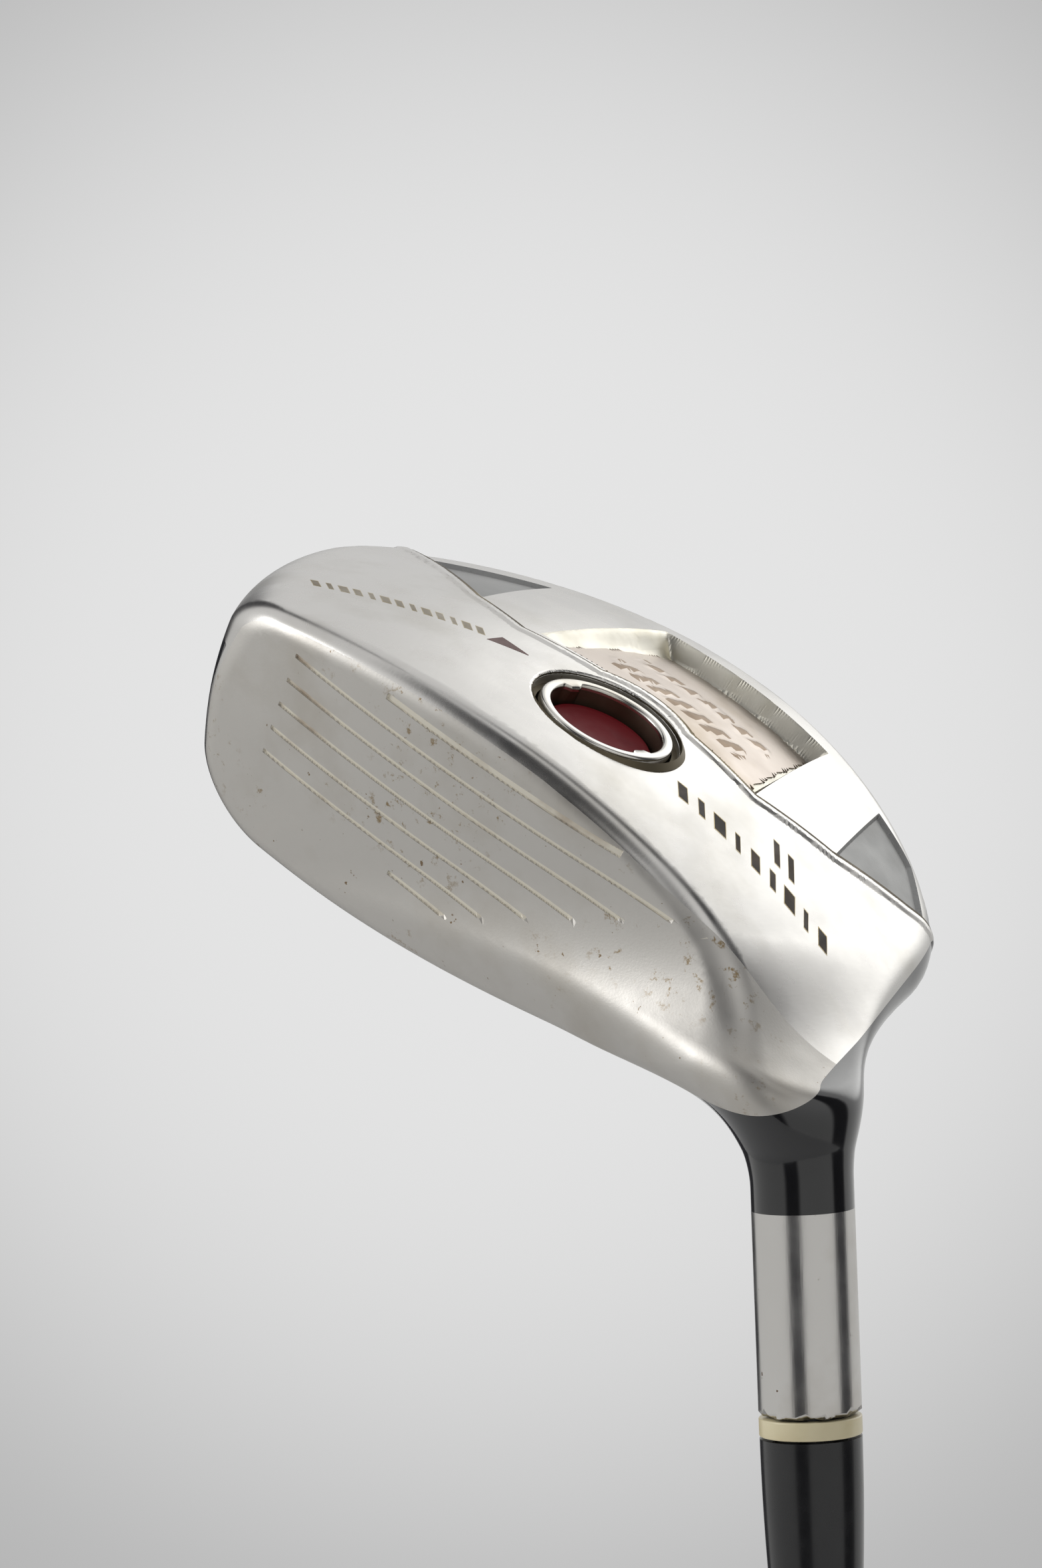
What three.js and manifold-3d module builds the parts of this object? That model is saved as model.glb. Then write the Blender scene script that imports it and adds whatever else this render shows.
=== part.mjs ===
// Left-handed hybrid golf club: a hollow cast head with a hosel, welded face and crown plates, a sole
// port with a screwed-in weight, a tapered graphite shaft and a rubber grip.
//
// Row frame, in millimetres: the origin is on the shaft axis at the butt of the grip, +Z runs up the
// shaft to the head, the face looks along -Y and the toe points along -X.
//
// The head is drawn in its address frame: the origin is where the shaft axis meets the ground, +X runs
// from heel to toe, +Y from face to rear and +Z upwards. headFrame turns it into the row frame.

import * as THREE from 'three';
import { mergeVertices } from 'three/addons/utils/BufferGeometryUtils.js';
import Module from 'manifold-3d';

const wasm = await Module();
wasm.setup();

const DEG = Math.PI / 180;
const FIT_GAP = 0.3;

// The whole club
const CLUB_LENGTH = 1054;
const LIE = 57.1 * DEG;
const LOFT = 18.2 * DEG;

// Head: each surface is a formula in the address frame
const FACE = { progression: 8.07, centre: 48, bulge: 256, roll: 300, mid: 20 };
const SOLE = { low: -4.4, midX: 43.7, midY: 39.5, toeRadius: 126, heelRadius: 88, depthRadius: 215 };
const CROWN = { top: 38, midX: 69, midY: 5.5, widthRadius: 200, depthRadius: 95 };
const SKIRT = {
  midX: 53, midY: 38, toe: 46, heel: 61, rear: 33.4, front: 76, toePower: 1.6, heelPower: 2.2, size: 42,
  widest: 7.5, flankRadius: 62,
};
const FILLET = { leadingEdge: 3.5, topLine: 1.6, sole: 5, crown: 7.5, neck: 21, neckFront: 30, inside: 3 };
const EDGE_CHANGE = { low: 8, high: 24 };
const EDGE_END = { start: 26, end: 36, share: 0.97 };
const WALL = { sole: 1.5, skirt: 1, crown: 1.9, face: 3.4, neck: 1.6 };
const HEAD_BOX = [[-52, -20, -12], [98, 80, 70]];
const HEAD_HEIGHTS = { bottom: -12, middle: 10, top: 48 };
const OUTER_STEP = 4.8;
const CAVITY_STEP = 6;

// Hosel, measured along the shaft axis from the ground
const HOSEL = {
  radius: 6.64, start: 23.6, endRound: 6, flareEnd: 30.7, flare: 0.058, lean: 0.0098, top: 63.9, spare: 4,
};
const HOSEL_BORE = { radius: 5, bottom: 28, guard: 7.4, guardStart: 24 };
const PLUG = { radius: 4.7, length: 4.5 };
const TRIM_RING = { radius: 6.64, length: 2.4 };
const FERRULE = { length: 30, endRadius: 5.4, ringRadius: 6.59 };

// Welded plates and the recesses in the sole
const FACE_PLATE = {
  centre: [40, 18], inset: 4.2, heelEnd: 2, corner: 8, thickness: 2.1, ledge: 2.8, windowDepth: 9,
};
const SCORE_LINES = { first: 10, pitch: 3.98, count: 5, from: 7.8, to: 76.4, width: 0.6, depth: 0.35 };
const LOW_LINE = { height: 5.9, from: 22.6, to: 61.3 };
const HIGH_LINE = { height: 29.3, from: 30.6, to: 52.4 };
const CROWN_PLATE = {
  centre: [48, 32], rimHeight: 34, rimInset: 11, topLineInset: 5, neckX: -16, neckInset: 17, corner: 6,
  thickness: 0.8, ledge: 4, windowDepth: 9,
};
const BADGE = { thickness: 0.4, depth: 1, front: 28, slope: 0.075, floor: 1.2, margin: 1.2 };
const CORNER_DEPTH = 0.7;
const CUT_ABOVE = 4;

// Sole port, with depths measured inwards from the sole
const PORT = {
  x: 40.7, y: 14.8, tilt: 5.9 * DEG, mouthRadius: 10.7, mouthDepth: 1.8, boreRadius: 9.8, boreDepth: 13.6,
  bossRadius: 11.6, bossTop: 1, floor: 2,
};
const PORT_RING = { outer: 9.5, inner: 8, top: 0.35, bottom: 5.9, lipInner: 6.8, lipTop: 4.9, chamfer: 0.5 };
const PORT_LUG = { width: 3, reach: 1, height: 1.6 };
const WEIGHT_CAP = {
  radius: 7.6, top: 3, bevel: 0.4, underside: 4.6, neckRadius: 6.4, studRadius: 2, studEnd: 9.6,
};
const WEIGHT_SLUG = { radius: 9.3, top: 6.2, bottom: 11.6, holeRadius: 2.3, holeEnd: 10 };
const SEAL = { ringRadius: 7.8, wireRadius: 0.7 };

// Shaft and grip, measured up the shaft from the butt
const SHAFT = { tipRadius: 4.7, tipParallel: 110, buttRadius: 7.6, buttParallel: 900, start: 6, wall: 1.4 };
const GRIP = {
  length: 267, capLength: 5, mouthRadius: 9.2, buttRadius: 13.2, bellHeight: 2.1, bellLength: 13,
  bevel: 1.2,
};
const BELL_HEIGHTS = [12, 20, 32, 50, 90];
const TAPE = { thickness: 0.3, start: 8, end: 262 };
const CAP = { radius: 15.4, ventRadius: 1.6, spigotLength: 6, spigotGap: 0.5, bevel: 1.4 };

const ROUND = 28;
const OUTLINE_SIDES = 36;
const SEAL_SIDES = 8;
const SOLE_RINGS = 4;
const SCORE_STEP = 24;
const FERRULE_STEPS = 6;

// Colours
const STEEL = material('#b4b2ad', 0.32, 1);
const FACE_STEEL = material('#a9a7a2', 0.45, 1);
const CROWN_BLACK = material('#0b0b0c', 0.12, 0);
const BADGE_STEEL = material('#b9a894', 0.3, 1);
const BRIGHT_STEEL = material('#c9c8c4', 0.2, 1);
const RED_ANODISED = material('#7d1019', 0.35, 0.6);
const TUNGSTEN = material('#6f6e6c', 0.45, 1);
const SEAL_RUBBER = material('#151515', 0.8, 0);
const PLUG_PLASTIC = material('#8d8a84', 0.7, 0);
const SHAFT_GRAPHITE = material('#17181a', 0.22, 0.1);
const CREAM_PLASTIC = material('#e6d9b0', 0.4, 0);
const FERRULE_BLACK = material('#101011', 0.3, 0);
const TAPE_PAPER = material('#d8d2c0', 0.9, 0);
const GRIP_RUBBER = material('#1b1b1c', 0.85, 0);

function material(color, roughness, metalness) {
  return new THREE.MeshStandardMaterial({ color, roughness, metalness });
}

// ---- Closed meshes and booleans ----

// Merges shared vertices, drops collapsed triangles and turns the faces outwards.
function weld(geometry) {
  geometry.deleteAttribute('normal');
  geometry.deleteAttribute('uv');
  const merged = mergeVertices(geometry, 1e-4);
  const index = merged.index.array;
  const position = merged.attributes.position;
  const corners = [new THREE.Vector3(), new THREE.Vector3(), new THREE.Vector3()];
  const kept = [];
  let volume = 0;
  for (let i = 0; i < index.length; i += 3) {
    const triangle = [index[i], index[i + 1], index[i + 2]];
    if (new Set(triangle).size < 3) continue;
    kept.push(...triangle);
    triangle.forEach((vertex, k) => corners[k].fromBufferAttribute(position, vertex));
    volume += corners[0].dot(corners[1].cross(corners[2]));
  }
  merged.setIndex(volume > 0 ? kept : kept.reverse());
  return merged;
}

function solidOf(geometry) {
  const closed = weld(geometry);
  return new wasm.Manifold(new wasm.Mesh({
    numProp: 3,
    vertProperties: new Float32Array(closed.attributes.position.array),
    triVerts: new Uint32Array(closed.index.array),
  }));
}

function geometryOf(solid) {
  const mesh = solid.getMesh();
  const geometry = new THREE.BufferGeometry();
  geometry.setAttribute('position', new THREE.BufferAttribute(new Float32Array(mesh.vertProperties), 3));
  geometry.setIndex([...mesh.triVerts]);
  geometry.computeVertexNormals();
  return geometry;
}

// A solid of revolution about Z; outline points are [radius, height] and the outline closes on itself.
function turned(outline, segments = ROUND) {
  const points = [...outline, outline[0]].map(([radius, height]) => new THREE.Vector2(radius, height));
  return weld(new THREE.LatheGeometry(points, segments).rotateX(Math.PI / 2));
}

function tube(inner, outer, low, high, segments = ROUND) {
  return turned([[inner, low], [outer, low], [outer, high], [inner, high]], segments);
}

function rod(radius, low, high, segments = ROUND) {
  return tube(0, radius, low, high, segments);
}

// ---- The head's surfaces; each is negative inside ----

function roundMax(a, b, radius) {
  const u = Math.max(radius + a, 0);
  const v = Math.max(radius + b, 0);
  return Math.min(-radius, Math.max(a, b)) + Math.hypot(u, v);
}

function roundMin(a, b, radius) {
  return -roundMax(-a, -b, radius);
}

function faceSurface(x, y, z) {
  const ahead = y + FACE.progression;
  const side = x - FACE.centre;
  const height = z * Math.cos(LOFT) + ahead * Math.sin(LOFT) - FACE.mid;
  const curve = side ** 2 / (2 * FACE.bulge) + height ** 2 / (2 * FACE.roll);
  return z * Math.sin(LOFT) - ahead * Math.cos(LOFT) + curve;
}

function soleSurface(x, y, z) {
  const side = x - SOLE.midX;
  const sideRadius = side > 0 ? SOLE.toeRadius : SOLE.heelRadius;
  const rise = side ** 2 / (2 * sideRadius) + (y - SOLE.midY) ** 2 / (2 * SOLE.depthRadius);
  return SOLE.low + rise - z;
}

function crownSurface(x, y, z) {
  const back = y - CROWN.midY;
  const drop = (x - CROWN.midX) ** 2 / (2 * CROWN.widthRadius) + back ** 2 / (2 * CROWN.depthRadius);
  return (z - CROWN.top + drop) / Math.hypot(1, back / CROWN.depthRadius);
}

function skirtSurface(x, y, z) {
  const toeSide = x > SKIRT.midX;
  const across = Math.abs(x - SKIRT.midX) / (toeSide ? SKIRT.toe : SKIRT.heel);
  const along = Math.abs(y - SKIRT.midY) / (y > SKIRT.midY ? SKIRT.rear : SKIRT.front);
  const power = toeSide ? SKIRT.toePower : SKIRT.heelPower;
  const reach = (across ** power + along ** power) ** (1 / power);
  return (reach - 1) * SKIRT.size + (z - SKIRT.widest) ** 2 / (2 * SKIRT.flankRadius);
}

function shellSurface(x, y, z) {
  const lower = roundMax(soleSurface(x, y, z), skirtSurface(x, y, z), FILLET.sole);
  return roundMax(lower, crownSurface(x, y, z), FILLET.crown);
}

function alongShaft(x, z) {
  return z * Math.sin(LIE) - x * Math.cos(LIE);
}

function offShaft(x, y, z) {
  return Math.hypot(x * Math.sin(LIE) + z * Math.cos(LIE), y);
}

function hoselSurface(x, y, z) {
  const along = alongShaft(x, z);
  const flare = Math.max(HOSEL.flareEnd - along, 0) ** 2;
  const off = offShaft(x, y - HOSEL.lean * flare, z) - HOSEL.radius - HOSEL.flare * flare;
  return roundMax(off, HOSEL.start - along, HOSEL.endRound);
}

// The hosel blends into the shell and into the face, and the rounded edge between those two runs on
// down the neck.
function joined(shell, face, hosel, edge) {
  return roundMax(roundMin(shell, hosel, FILLET.neck), roundMin(face, hosel, FILLET.neckFront), edge);
}

function headSurface(x, y, z) {
  const along = alongShaft(x, z);
  const rising = THREE.MathUtils.smoothstep(z, EDGE_CHANGE.low, EDGE_CHANGE.high);
  const left = 1 - EDGE_END.share * THREE.MathUtils.smoothstep(along, EDGE_END.start, EDGE_END.end);
  const edge = left * THREE.MathUtils.lerp(FILLET.leadingEdge, FILLET.topLine, rising);
  const head = joined(shellSurface(x, y, z), faceSurface(x, y, z), hoselSurface(x, y, z), edge);
  return Math.max(head, along - HOSEL.top - HOSEL.spare);
}

function cavitySurface(x, y, z) {
  const lower = roundMax(soleSurface(x, y, z) + WALL.sole, skirtSurface(x, y, z) + WALL.skirt, FILLET.sole);
  const closed = roundMax(lower, crownSurface(x, y, z) + WALL.crown, FILLET.crown);
  const face = faceSurface(x, y, z) + WALL.face;
  const hollow = joined(closed, face, hoselSurface(x, y, z) + WALL.neck, FILLET.inside);
  const nearShaft = Math.max(offShaft(x, y, z) - HOSEL_BORE.guard, HOSEL_BORE.guardStart - alongShaft(x, z));
  return roundMax(hollow, -nearShaft, FILLET.inside);
}

// Moves a point along the field's gradient onto its zero surface.
function settle(field, point, rounds = 4) {
  const e = 1e-3;
  for (let round = 0; round < rounds; round += 1) {
    const { x, y, z } = point;
    const gradient = new THREE.Vector3(
      field(x + e, y, z) - field(x - e, y, z),
      field(x, y + e, z) - field(x, y - e, z),
      field(x, y, z + e) - field(x, y, z - e),
    ).divideScalar(2 * e);
    point.addScaledVector(gradient, -field(x, y, z) / Math.max(gradient.lengthSq(), 0.05));
  }
  return point;
}

// Meshes a field's zero surface: one vertex in each grid cell that the surface crosses, one quad across
// each grid edge that it crosses.
function meshField(field, [low, high], step) {
  const count = low.map((start, axis) => Math.ceil((high[axis] - start) / step) + 1);
  const id = (i, j, k) => (i * count[1] + j) * count[2] + k;
  const place = (i, j, k) => new THREE.Vector3(low[0] + i * step, low[1] + j * step, low[2] + k * step);
  const value = new Float64Array(count[0] * count[1] * count[2]);
  for (let i = 0; i < count[0]; i += 1) {
    for (let j = 0; j < count[1]; j += 1) {
      for (let k = 0; k < count[2]; k += 1) {
        value[id(i, j, k)] = field(...place(i, j, k).toArray());
      }
    }
  }
  const axes = [[1, 0, 0], [0, 1, 0], [0, 0, 1]];
  const sums = new Map();
  const quads = [];
  for (let i = 1; i < count[0] - 1; i += 1) {
    for (let j = 1; j < count[1] - 1; j += 1) {
      for (let k = 1; k < count[2] - 1; k += 1) {
        const here = value[id(i, j, k)];
        axes.forEach(([a, b, c], axis) => {
          const next = value[id(i + a, j + b, k + c)];
          if ((here < 0) === (next < 0)) return;
          const toCrossing = new THREE.Vector3(a, b, c).multiplyScalar(step * here / (here - next));
          const crossed = place(i, j, k).add(toCrossing);
          const u = axes[(axis + 1) % 3];
          const v = axes[(axis + 2) % 3];
          const corners = [[1, 1], [0, 1], [0, 0], [1, 0]].map(([du, dv]) => (
            id(i - du * u[0] - dv * v[0], j - du * u[1] - dv * v[1], k - du * u[2] - dv * v[2])
          ));
          corners.forEach((cell) => {
            const sum = sums.get(cell) ?? { total: new THREE.Vector3(), crossings: 0 };
            sum.total.add(crossed);
            sum.crossings += 1;
            sums.set(cell, sum);
          });
          quads.push(here < 0 ? corners : corners.reverse());
        });
      }
    }
  }
  const order = new Map();
  const vertices = [];
  sums.forEach(({ total, crossings }, cell) => {
    order.set(cell, vertices.length / 3);
    vertices.push(...settle(field, total.divideScalar(crossings)).toArray());
  });
  const triangles = quads.flatMap((quad) => {
    const [a, b, c, d] = quad.map((cell) => order.get(cell));
    return [a, b, c, a, c, d];
  });
  const geometry = new THREE.BufferGeometry();
  geometry.setAttribute('position', new THREE.Float32BufferAttribute(vertices, 3));
  geometry.setIndex(triangles);
  return geometry;
}

// ---- Patches: slabs that follow one of the head's surfaces inside a closed outline ----

// place(u, v, offset) gives the point at an offset outwards from the surface.
function patch(outline, centre, place, outer, inner, rings = 3) {
  const vertices = [];
  const at = (ring, k) => {
    const share = ring / rings;
    return [centre[0] + share * (outline[k][0] - centre[0]), centre[1] + share * (outline[k][1] - centre[1])];
  };
  const sides = outline.length;
  const layer = (offset) => {
    const start = vertices.length / 3;
    vertices.push(...place(...centre, offset).toArray());
    for (let ring = 1; ring <= rings; ring += 1) {
      for (let k = 0; k < sides; k += 1) {
        vertices.push(...place(...at(ring, k), offset).toArray());
      }
    }
    return (ring, k) => (ring === 0 ? start : start + 1 + (ring - 1) * sides + (k % sides));
  };
  const top = layer(outer);
  const bottom = layer(inner);
  const triangles = [];
  for (let k = 0; k < sides; k += 1) {
    triangles.push(top(0, 0), top(1, k), top(1, k + 1));
    triangles.push(bottom(0, 0), bottom(1, k + 1), bottom(1, k));
    for (let ring = 1; ring < rings; ring += 1) {
      triangles.push(top(ring, k), top(ring + 1, k), top(ring + 1, k + 1));
      triangles.push(top(ring, k), top(ring + 1, k + 1), top(ring, k + 1));
      triangles.push(bottom(ring, k), bottom(ring + 1, k + 1), bottom(ring + 1, k));
      triangles.push(bottom(ring, k), bottom(ring, k + 1), bottom(ring + 1, k + 1));
    }
    triangles.push(top(rings, k), bottom(rings, k), bottom(rings, k + 1));
    triangles.push(top(rings, k), bottom(rings, k + 1), top(rings, k + 1));
  }
  const geometry = new THREE.BufferGeometry();
  geometry.setAttribute('position', new THREE.Float32BufferAttribute(vertices, 3));
  geometry.setIndex(triangles);
  return weld(geometry);
}

// The height between low and high where a falling or rising function crosses zero.
function crossing(test, low, high) {
  const startsInside = test(low) < 0;
  let [a, b] = [low, high];
  for (let i = 0; i < 40; i += 1) {
    const middle = (a + b) / 2;
    if ((test(middle) < 0) === startsInside) a = middle;
    else b = middle;
  }
  return a;
}

// An outline drawn round a centre: in each direction it runs out to where the test function reaches zero.
function outlineWhere(test, centre, farthest, sides) {
  return Array.from({ length: sides }, (_, k) => {
    const angle = 2 * Math.PI * k / sides;
    const along = (reach) => [centre[0] + reach * Math.cos(angle), centre[1] + reach * Math.sin(angle)];
    return along(crossing((reach) => test(...along(reach)), 0, farthest));
  });
}

// Moves every side of a closed outline outwards, or inwards for a negative distance.
function grown(outline, distance) {
  return outline.map((point, k) => {
    const before = outline[(k + outline.length - 1) % outline.length];
    const after = outline[(k + 1) % outline.length];
    const along = new THREE.Vector2(after[0] - before[0], after[1] - before[1]).normalize();
    return [point[0] + along.y * distance, point[1] - along.x * distance];
  });
}

// Straight sides between corners, in steps of a few millimetres.
function straightSides(corners, step = 4) {
  return corners.flatMap((corner, k) => {
    const next = corners[(k + 1) % corners.length];
    const steps = Math.max(1, Math.round(Math.hypot(next[0] - corner[0], next[1] - corner[1]) / step));
    return Array.from({ length: steps }, (_, i) => [
      corner[0] + (next[0] - corner[0]) * i / steps,
      corner[1] + (next[1] - corner[1]) * i / steps,
    ]);
  });
}

function middleOf(outline) {
  const sum = outline.reduce(([x, y], point) => [x + point[0], y + point[1]], [0, 0]);
  return [sum[0] / outline.length, sum[1] / outline.length];
}

// On the face, u runs from heel to toe and v up the loft.
function onFace(u, v, offset) {
  const curve = (u - FACE.centre) ** 2 / (2 * FACE.bulge) + (v - FACE.mid) ** 2 / (2 * FACE.roll);
  const out = offset - curve;
  return new THREE.Vector3(
    u,
    v * Math.sin(LOFT) - FACE.progression - out * Math.cos(LOFT),
    v * Math.cos(LOFT) + out * Math.sin(LOFT),
  );
}

// Over the crown and under the sole, u and v are the plan position and offsets are vertical.
function onCrown(u, v, offset) {
  const height = crossing((z) => headSurface(u, v, z), HEAD_HEIGHTS.middle, HEAD_HEIGHTS.top);
  return new THREE.Vector3(u, v, height + offset);
}

function onSole(u, v, offset) {
  const height = crossing((z) => headSurface(u, v, z), HEAD_HEIGHTS.bottom, HEAD_HEIGHTS.middle);
  return new THREE.Vector3(u, v, height - offset);
}

// Below the sole, the badge's recess deepens towards the rear.
function underBadge(u, v, offset) {
  const sink = offset < 0 ? BADGE.slope * (v - BADGE.front) : 0;
  return onSole(u, v, offset - sink);
}

const FARTHEST = 70;

const FACE_OUTLINE = outlineWhere((u, v) => {
  const rim = shellSurface(...onFace(u, v, 0).toArray()) + FACE_PLATE.inset;
  return roundMax(rim, FACE_PLATE.heelEnd - u, FACE_PLATE.corner);
}, FACE_PLATE.centre, FARTHEST, OUTLINE_SIDES);

const CROWN_OUTLINE = outlineWhere((u, v) => {
  const { rimHeight, rimInset, topLineInset, neckX, neckInset, corner } = CROWN_PLATE;
  const rear = skirtSurface(u, v, rimHeight) + rimInset;
  const front = faceSurface(u, v, rimHeight) + topLineInset;
  return roundMax(roundMax(rear, front, corner), neckInset - Math.hypot(u - neckX, v), corner);
}, CROWN_PLATE.centre, FARTHEST, OUTLINE_SIDES);

// Badge recess and the two corner recesses in the rear of the sole, as corners in plan.
const BADGE_CORNERS = [
  [60.3, 27.4], [57.8, 61.5], [27.3, 59.5], [22.3, 27.9], [31.5, 28.4], [40.7, 29.4], [51, 29.2],
];
const TOE_CORNERS = [[85.5, 44.5], [72.8, 54.3], [71.3, 32.3]];
const HEEL_CORNERS = [[11.3, 36.5], [16.4, 57.5], [8, 54.5], [0.8, 48.5]];

// ---- Head parts ----

// Turns the frame with Z up the shaft towards the grip into the head's address frame.
const shaftTurn = new THREE.Matrix4().makeRotationY(LIE - Math.PI / 2);

const portTurn = new THREE.Matrix4()
  .makeTranslation(onSole(PORT.x, PORT.y, 0))
  .multiply(new THREE.Matrix4().makeRotationX(Math.PI - PORT.tilt));

// A turned solid on the port's axis, with its outline given as [radius, depth].
function portTurned(outline) {
  return turned(outline.map(([radius, depth]) => [radius, -depth])).applyMatrix4(portTurn);
}

function portBoss() {
  const { bossRadius, bossTop, boreDepth, floor } = PORT;
  const inner = boreDepth + floor;
  return portTurned([[0, bossTop], [bossRadius, bossTop], [bossRadius, inner], [0, inner]]);
}

function portBore() {
  const { mouthRadius, mouthDepth, boreRadius, boreDepth } = PORT;
  return portTurned([
    [0, -CUT_ABOVE], [mouthRadius, -CUT_ABOVE], [mouthRadius, mouthDepth], [boreRadius, mouthDepth],
    [boreRadius, boreDepth], [0, boreDepth],
  ]);
}

function sunk(corners, margin, place, upper, lower) {
  const outline = grown(straightSides(corners), margin);
  return solidOf(patch(outline, middleOf(outline), place, upper, lower, SOLE_RINGS));
}

function headBody() {
  const outer = solidOf(meshField(headSurface, HEAD_BOX, OUTER_STEP));
  const cavity = solidOf(meshField(cavitySurface, HEAD_BOX, CAVITY_STEP));
  const faceCentre = middleOf(FACE_OUTLINE);
  const crownCentre = middleOf(CROWN_OUTLINE);
  const faceBack = FACE_PLATE.thickness + FIT_GAP;
  const crownBack = CROWN_PLATE.thickness + FIT_GAP;
  const faceHole = grown(FACE_OUTLINE, -FACE_PLATE.ledge);
  const crownHole = grown(CROWN_OUTLINE, -CROWN_PLATE.ledge);
  const faceWindow = patch(faceHole, faceCentre, onFace, 0, -FACE_PLATE.windowDepth);
  const crownWindow = patch(crownHole, crownCentre, onCrown, 0, -CROWN_PLATE.windowDepth);
  const faceSeat = patch(grown(FACE_OUTLINE, FIT_GAP), faceCentre, onFace, CUT_ABOVE, -faceBack);
  const crownSeat = patch(grown(CROWN_OUTLINE, FIT_GAP), crownCentre, onCrown, CUT_ABOVE, -crownBack);
  const clear = HOSEL.top + 2 * HOSEL.spare;
  const bore = rod(HOSEL_BORE.radius, HOSEL_BORE.bottom, clear).applyMatrix4(shaftTurn);
  const above = rod(3 * HOSEL.radius, HOSEL.top, clear).applyMatrix4(shaftTurn);
  const hollow = outer.subtract(cavity).subtract(solidOf(faceWindow)).subtract(solidOf(crownWindow));
  const badgeWell = sunk(BADGE_CORNERS, BADGE.margin, underBadge, 0, -BADGE.depth - BADGE.floor);
  const filled = hollow.add(solidOf(portBoss())).add(badgeWell.intersect(outer));
  return [faceSeat, crownSeat, portBore(), bore, above]
    .reduce((body, cut) => body.subtract(solidOf(cut)), filled)
    .subtract(sunk(BADGE_CORNERS, 0, underBadge, CUT_ABOVE, -BADGE.depth))
    .subtract(sunk(TOE_CORNERS, 0, onSole, CUT_ABOVE, -CORNER_DEPTH))
    .subtract(sunk(HEEL_CORNERS, 0, onSole, CUT_ABOVE, -CORNER_DEPTH));
}

function scoreLine({ from, to, height }) {
  const half = SCORE_LINES.width / 2;
  const corners = [[from, height - half], [to, height - half], [to, height + half], [from, height + half]];
  const outline = straightSides(corners, SCORE_STEP);
  return solidOf(patch(outline, middleOf(outline), onFace, CUT_ABOVE, -SCORE_LINES.depth, 1));
}

function facePlate() {
  const plate = solidOf(patch(FACE_OUTLINE, middleOf(FACE_OUTLINE), onFace, 0, -FACE_PLATE.thickness));
  const { first, pitch, count, from, to } = SCORE_LINES;
  const longLines = Array.from({ length: count }, (_, i) => ({ from, to, height: first + i * pitch }));
  return [...longLines, LOW_LINE, HIGH_LINE]
    .reduce((solid, line) => solid.subtract(scoreLine(line)), plate);
}

function crownPlate() {
  return solidOf(patch(CROWN_OUTLINE, middleOf(CROWN_OUTLINE), onCrown, 0, -CROWN_PLATE.thickness));
}

function soleBadge() {
  const under = FIT_GAP - BADGE.depth;
  return sunk(BADGE_CORNERS, -BADGE.margin, underBadge, under + BADGE.thickness, under);
}

// The ring screws into the port. Two lugs inside its rim take the wrench.
function portRing() {
  const { outer, inner, top, bottom, lipInner, lipTop, chamfer } = PORT_RING;
  const ring = solidOf(portTurned([
    [inner, top + chamfer], [inner + chamfer, top], [outer - chamfer, top], [outer, top + chamfer],
    [outer, bottom], [lipInner, bottom], [lipInner, lipTop], [inner, lipTop],
  ]));
  return [-1, 1].reduce((solid, side) => {
    const lug = new THREE.BoxGeometry(PORT_LUG.reach + chamfer, PORT_LUG.width, PORT_LUG.height);
    const across = inner - (PORT_LUG.reach - chamfer) / 2;
    lug.translate(side * across, 0, -(top + chamfer + PORT_LUG.height / 2));
    return solid.add(solidOf(lug.applyMatrix4(portTurn)));
  }, ring);
}

function weightCap() {
  const { radius, top, bevel, underside, neckRadius, studRadius, studEnd } = WEIGHT_CAP;
  const shoulder = WEIGHT_SLUG.top - FIT_GAP;
  return solidOf(portTurned([
    [0, top], [radius - bevel, top], [radius, top + bevel], [radius, underside], [neckRadius, underside],
    [neckRadius, shoulder], [studRadius, shoulder], [studRadius, studEnd], [0, studEnd],
  ]));
}

function weightSlug() {
  const { radius, top, bottom, holeRadius, holeEnd } = WEIGHT_SLUG;
  return solidOf(portTurned([
    [holeRadius, top], [radius, top], [radius, bottom], [0, bottom], [0, holeEnd], [holeRadius, holeEnd],
  ]));
}

function weightSeal() {
  const middle = (WEIGHT_SLUG.bottom + PORT.boreDepth) / 2;
  const section = Array.from({ length: SEAL_SIDES }, (_, k) => {
    const angle = 2 * Math.PI * k / SEAL_SIDES;
    return [SEAL.ringRadius + SEAL.wireRadius * Math.cos(angle), middle + SEAL.wireRadius * Math.sin(angle)];
  });
  return solidOf(portTurned(section));
}

// ---- Shaft, ferrule and grip, all turned about the shaft axis with heights up from the butt ----

function fromButt(alongFromGround) {
  return CLUB_LENGTH - alongFromGround;
}

function shaftRadius(height) {
  const along = THREE.MathUtils.clamp(fromButt(height), SHAFT.tipParallel, SHAFT.buttParallel);
  const share = (along - SHAFT.tipParallel) / (SHAFT.buttParallel - SHAFT.tipParallel);
  return THREE.MathUtils.lerp(SHAFT.tipRadius, SHAFT.buttRadius, share);
}

function shaftEnd() {
  return fromButt(HOSEL_BORE.bottom + PLUG.length + 2 * FIT_GAP);
}

function shaft() {
  const heights = [SHAFT.start, fromButt(SHAFT.buttParallel), fromButt(SHAFT.tipParallel), shaftEnd()];
  const outside = heights.map((height) => [shaftRadius(height), height]);
  const inside = heights.map((height) => [shaftRadius(height) - SHAFT.wall, height]).reverse();
  return turned([...outside, ...inside]);
}

function hoselPlug() {
  const top = fromButt(HOSEL_BORE.bottom + FIT_GAP);
  return rod(PLUG.radius, top - PLUG.length, top);
}

function trimRing() {
  const top = fromButt(HOSEL.top + FIT_GAP);
  return tube(SHAFT.tipRadius + FIT_GAP, TRIM_RING.radius, top - TRIM_RING.length, top);
}

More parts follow.
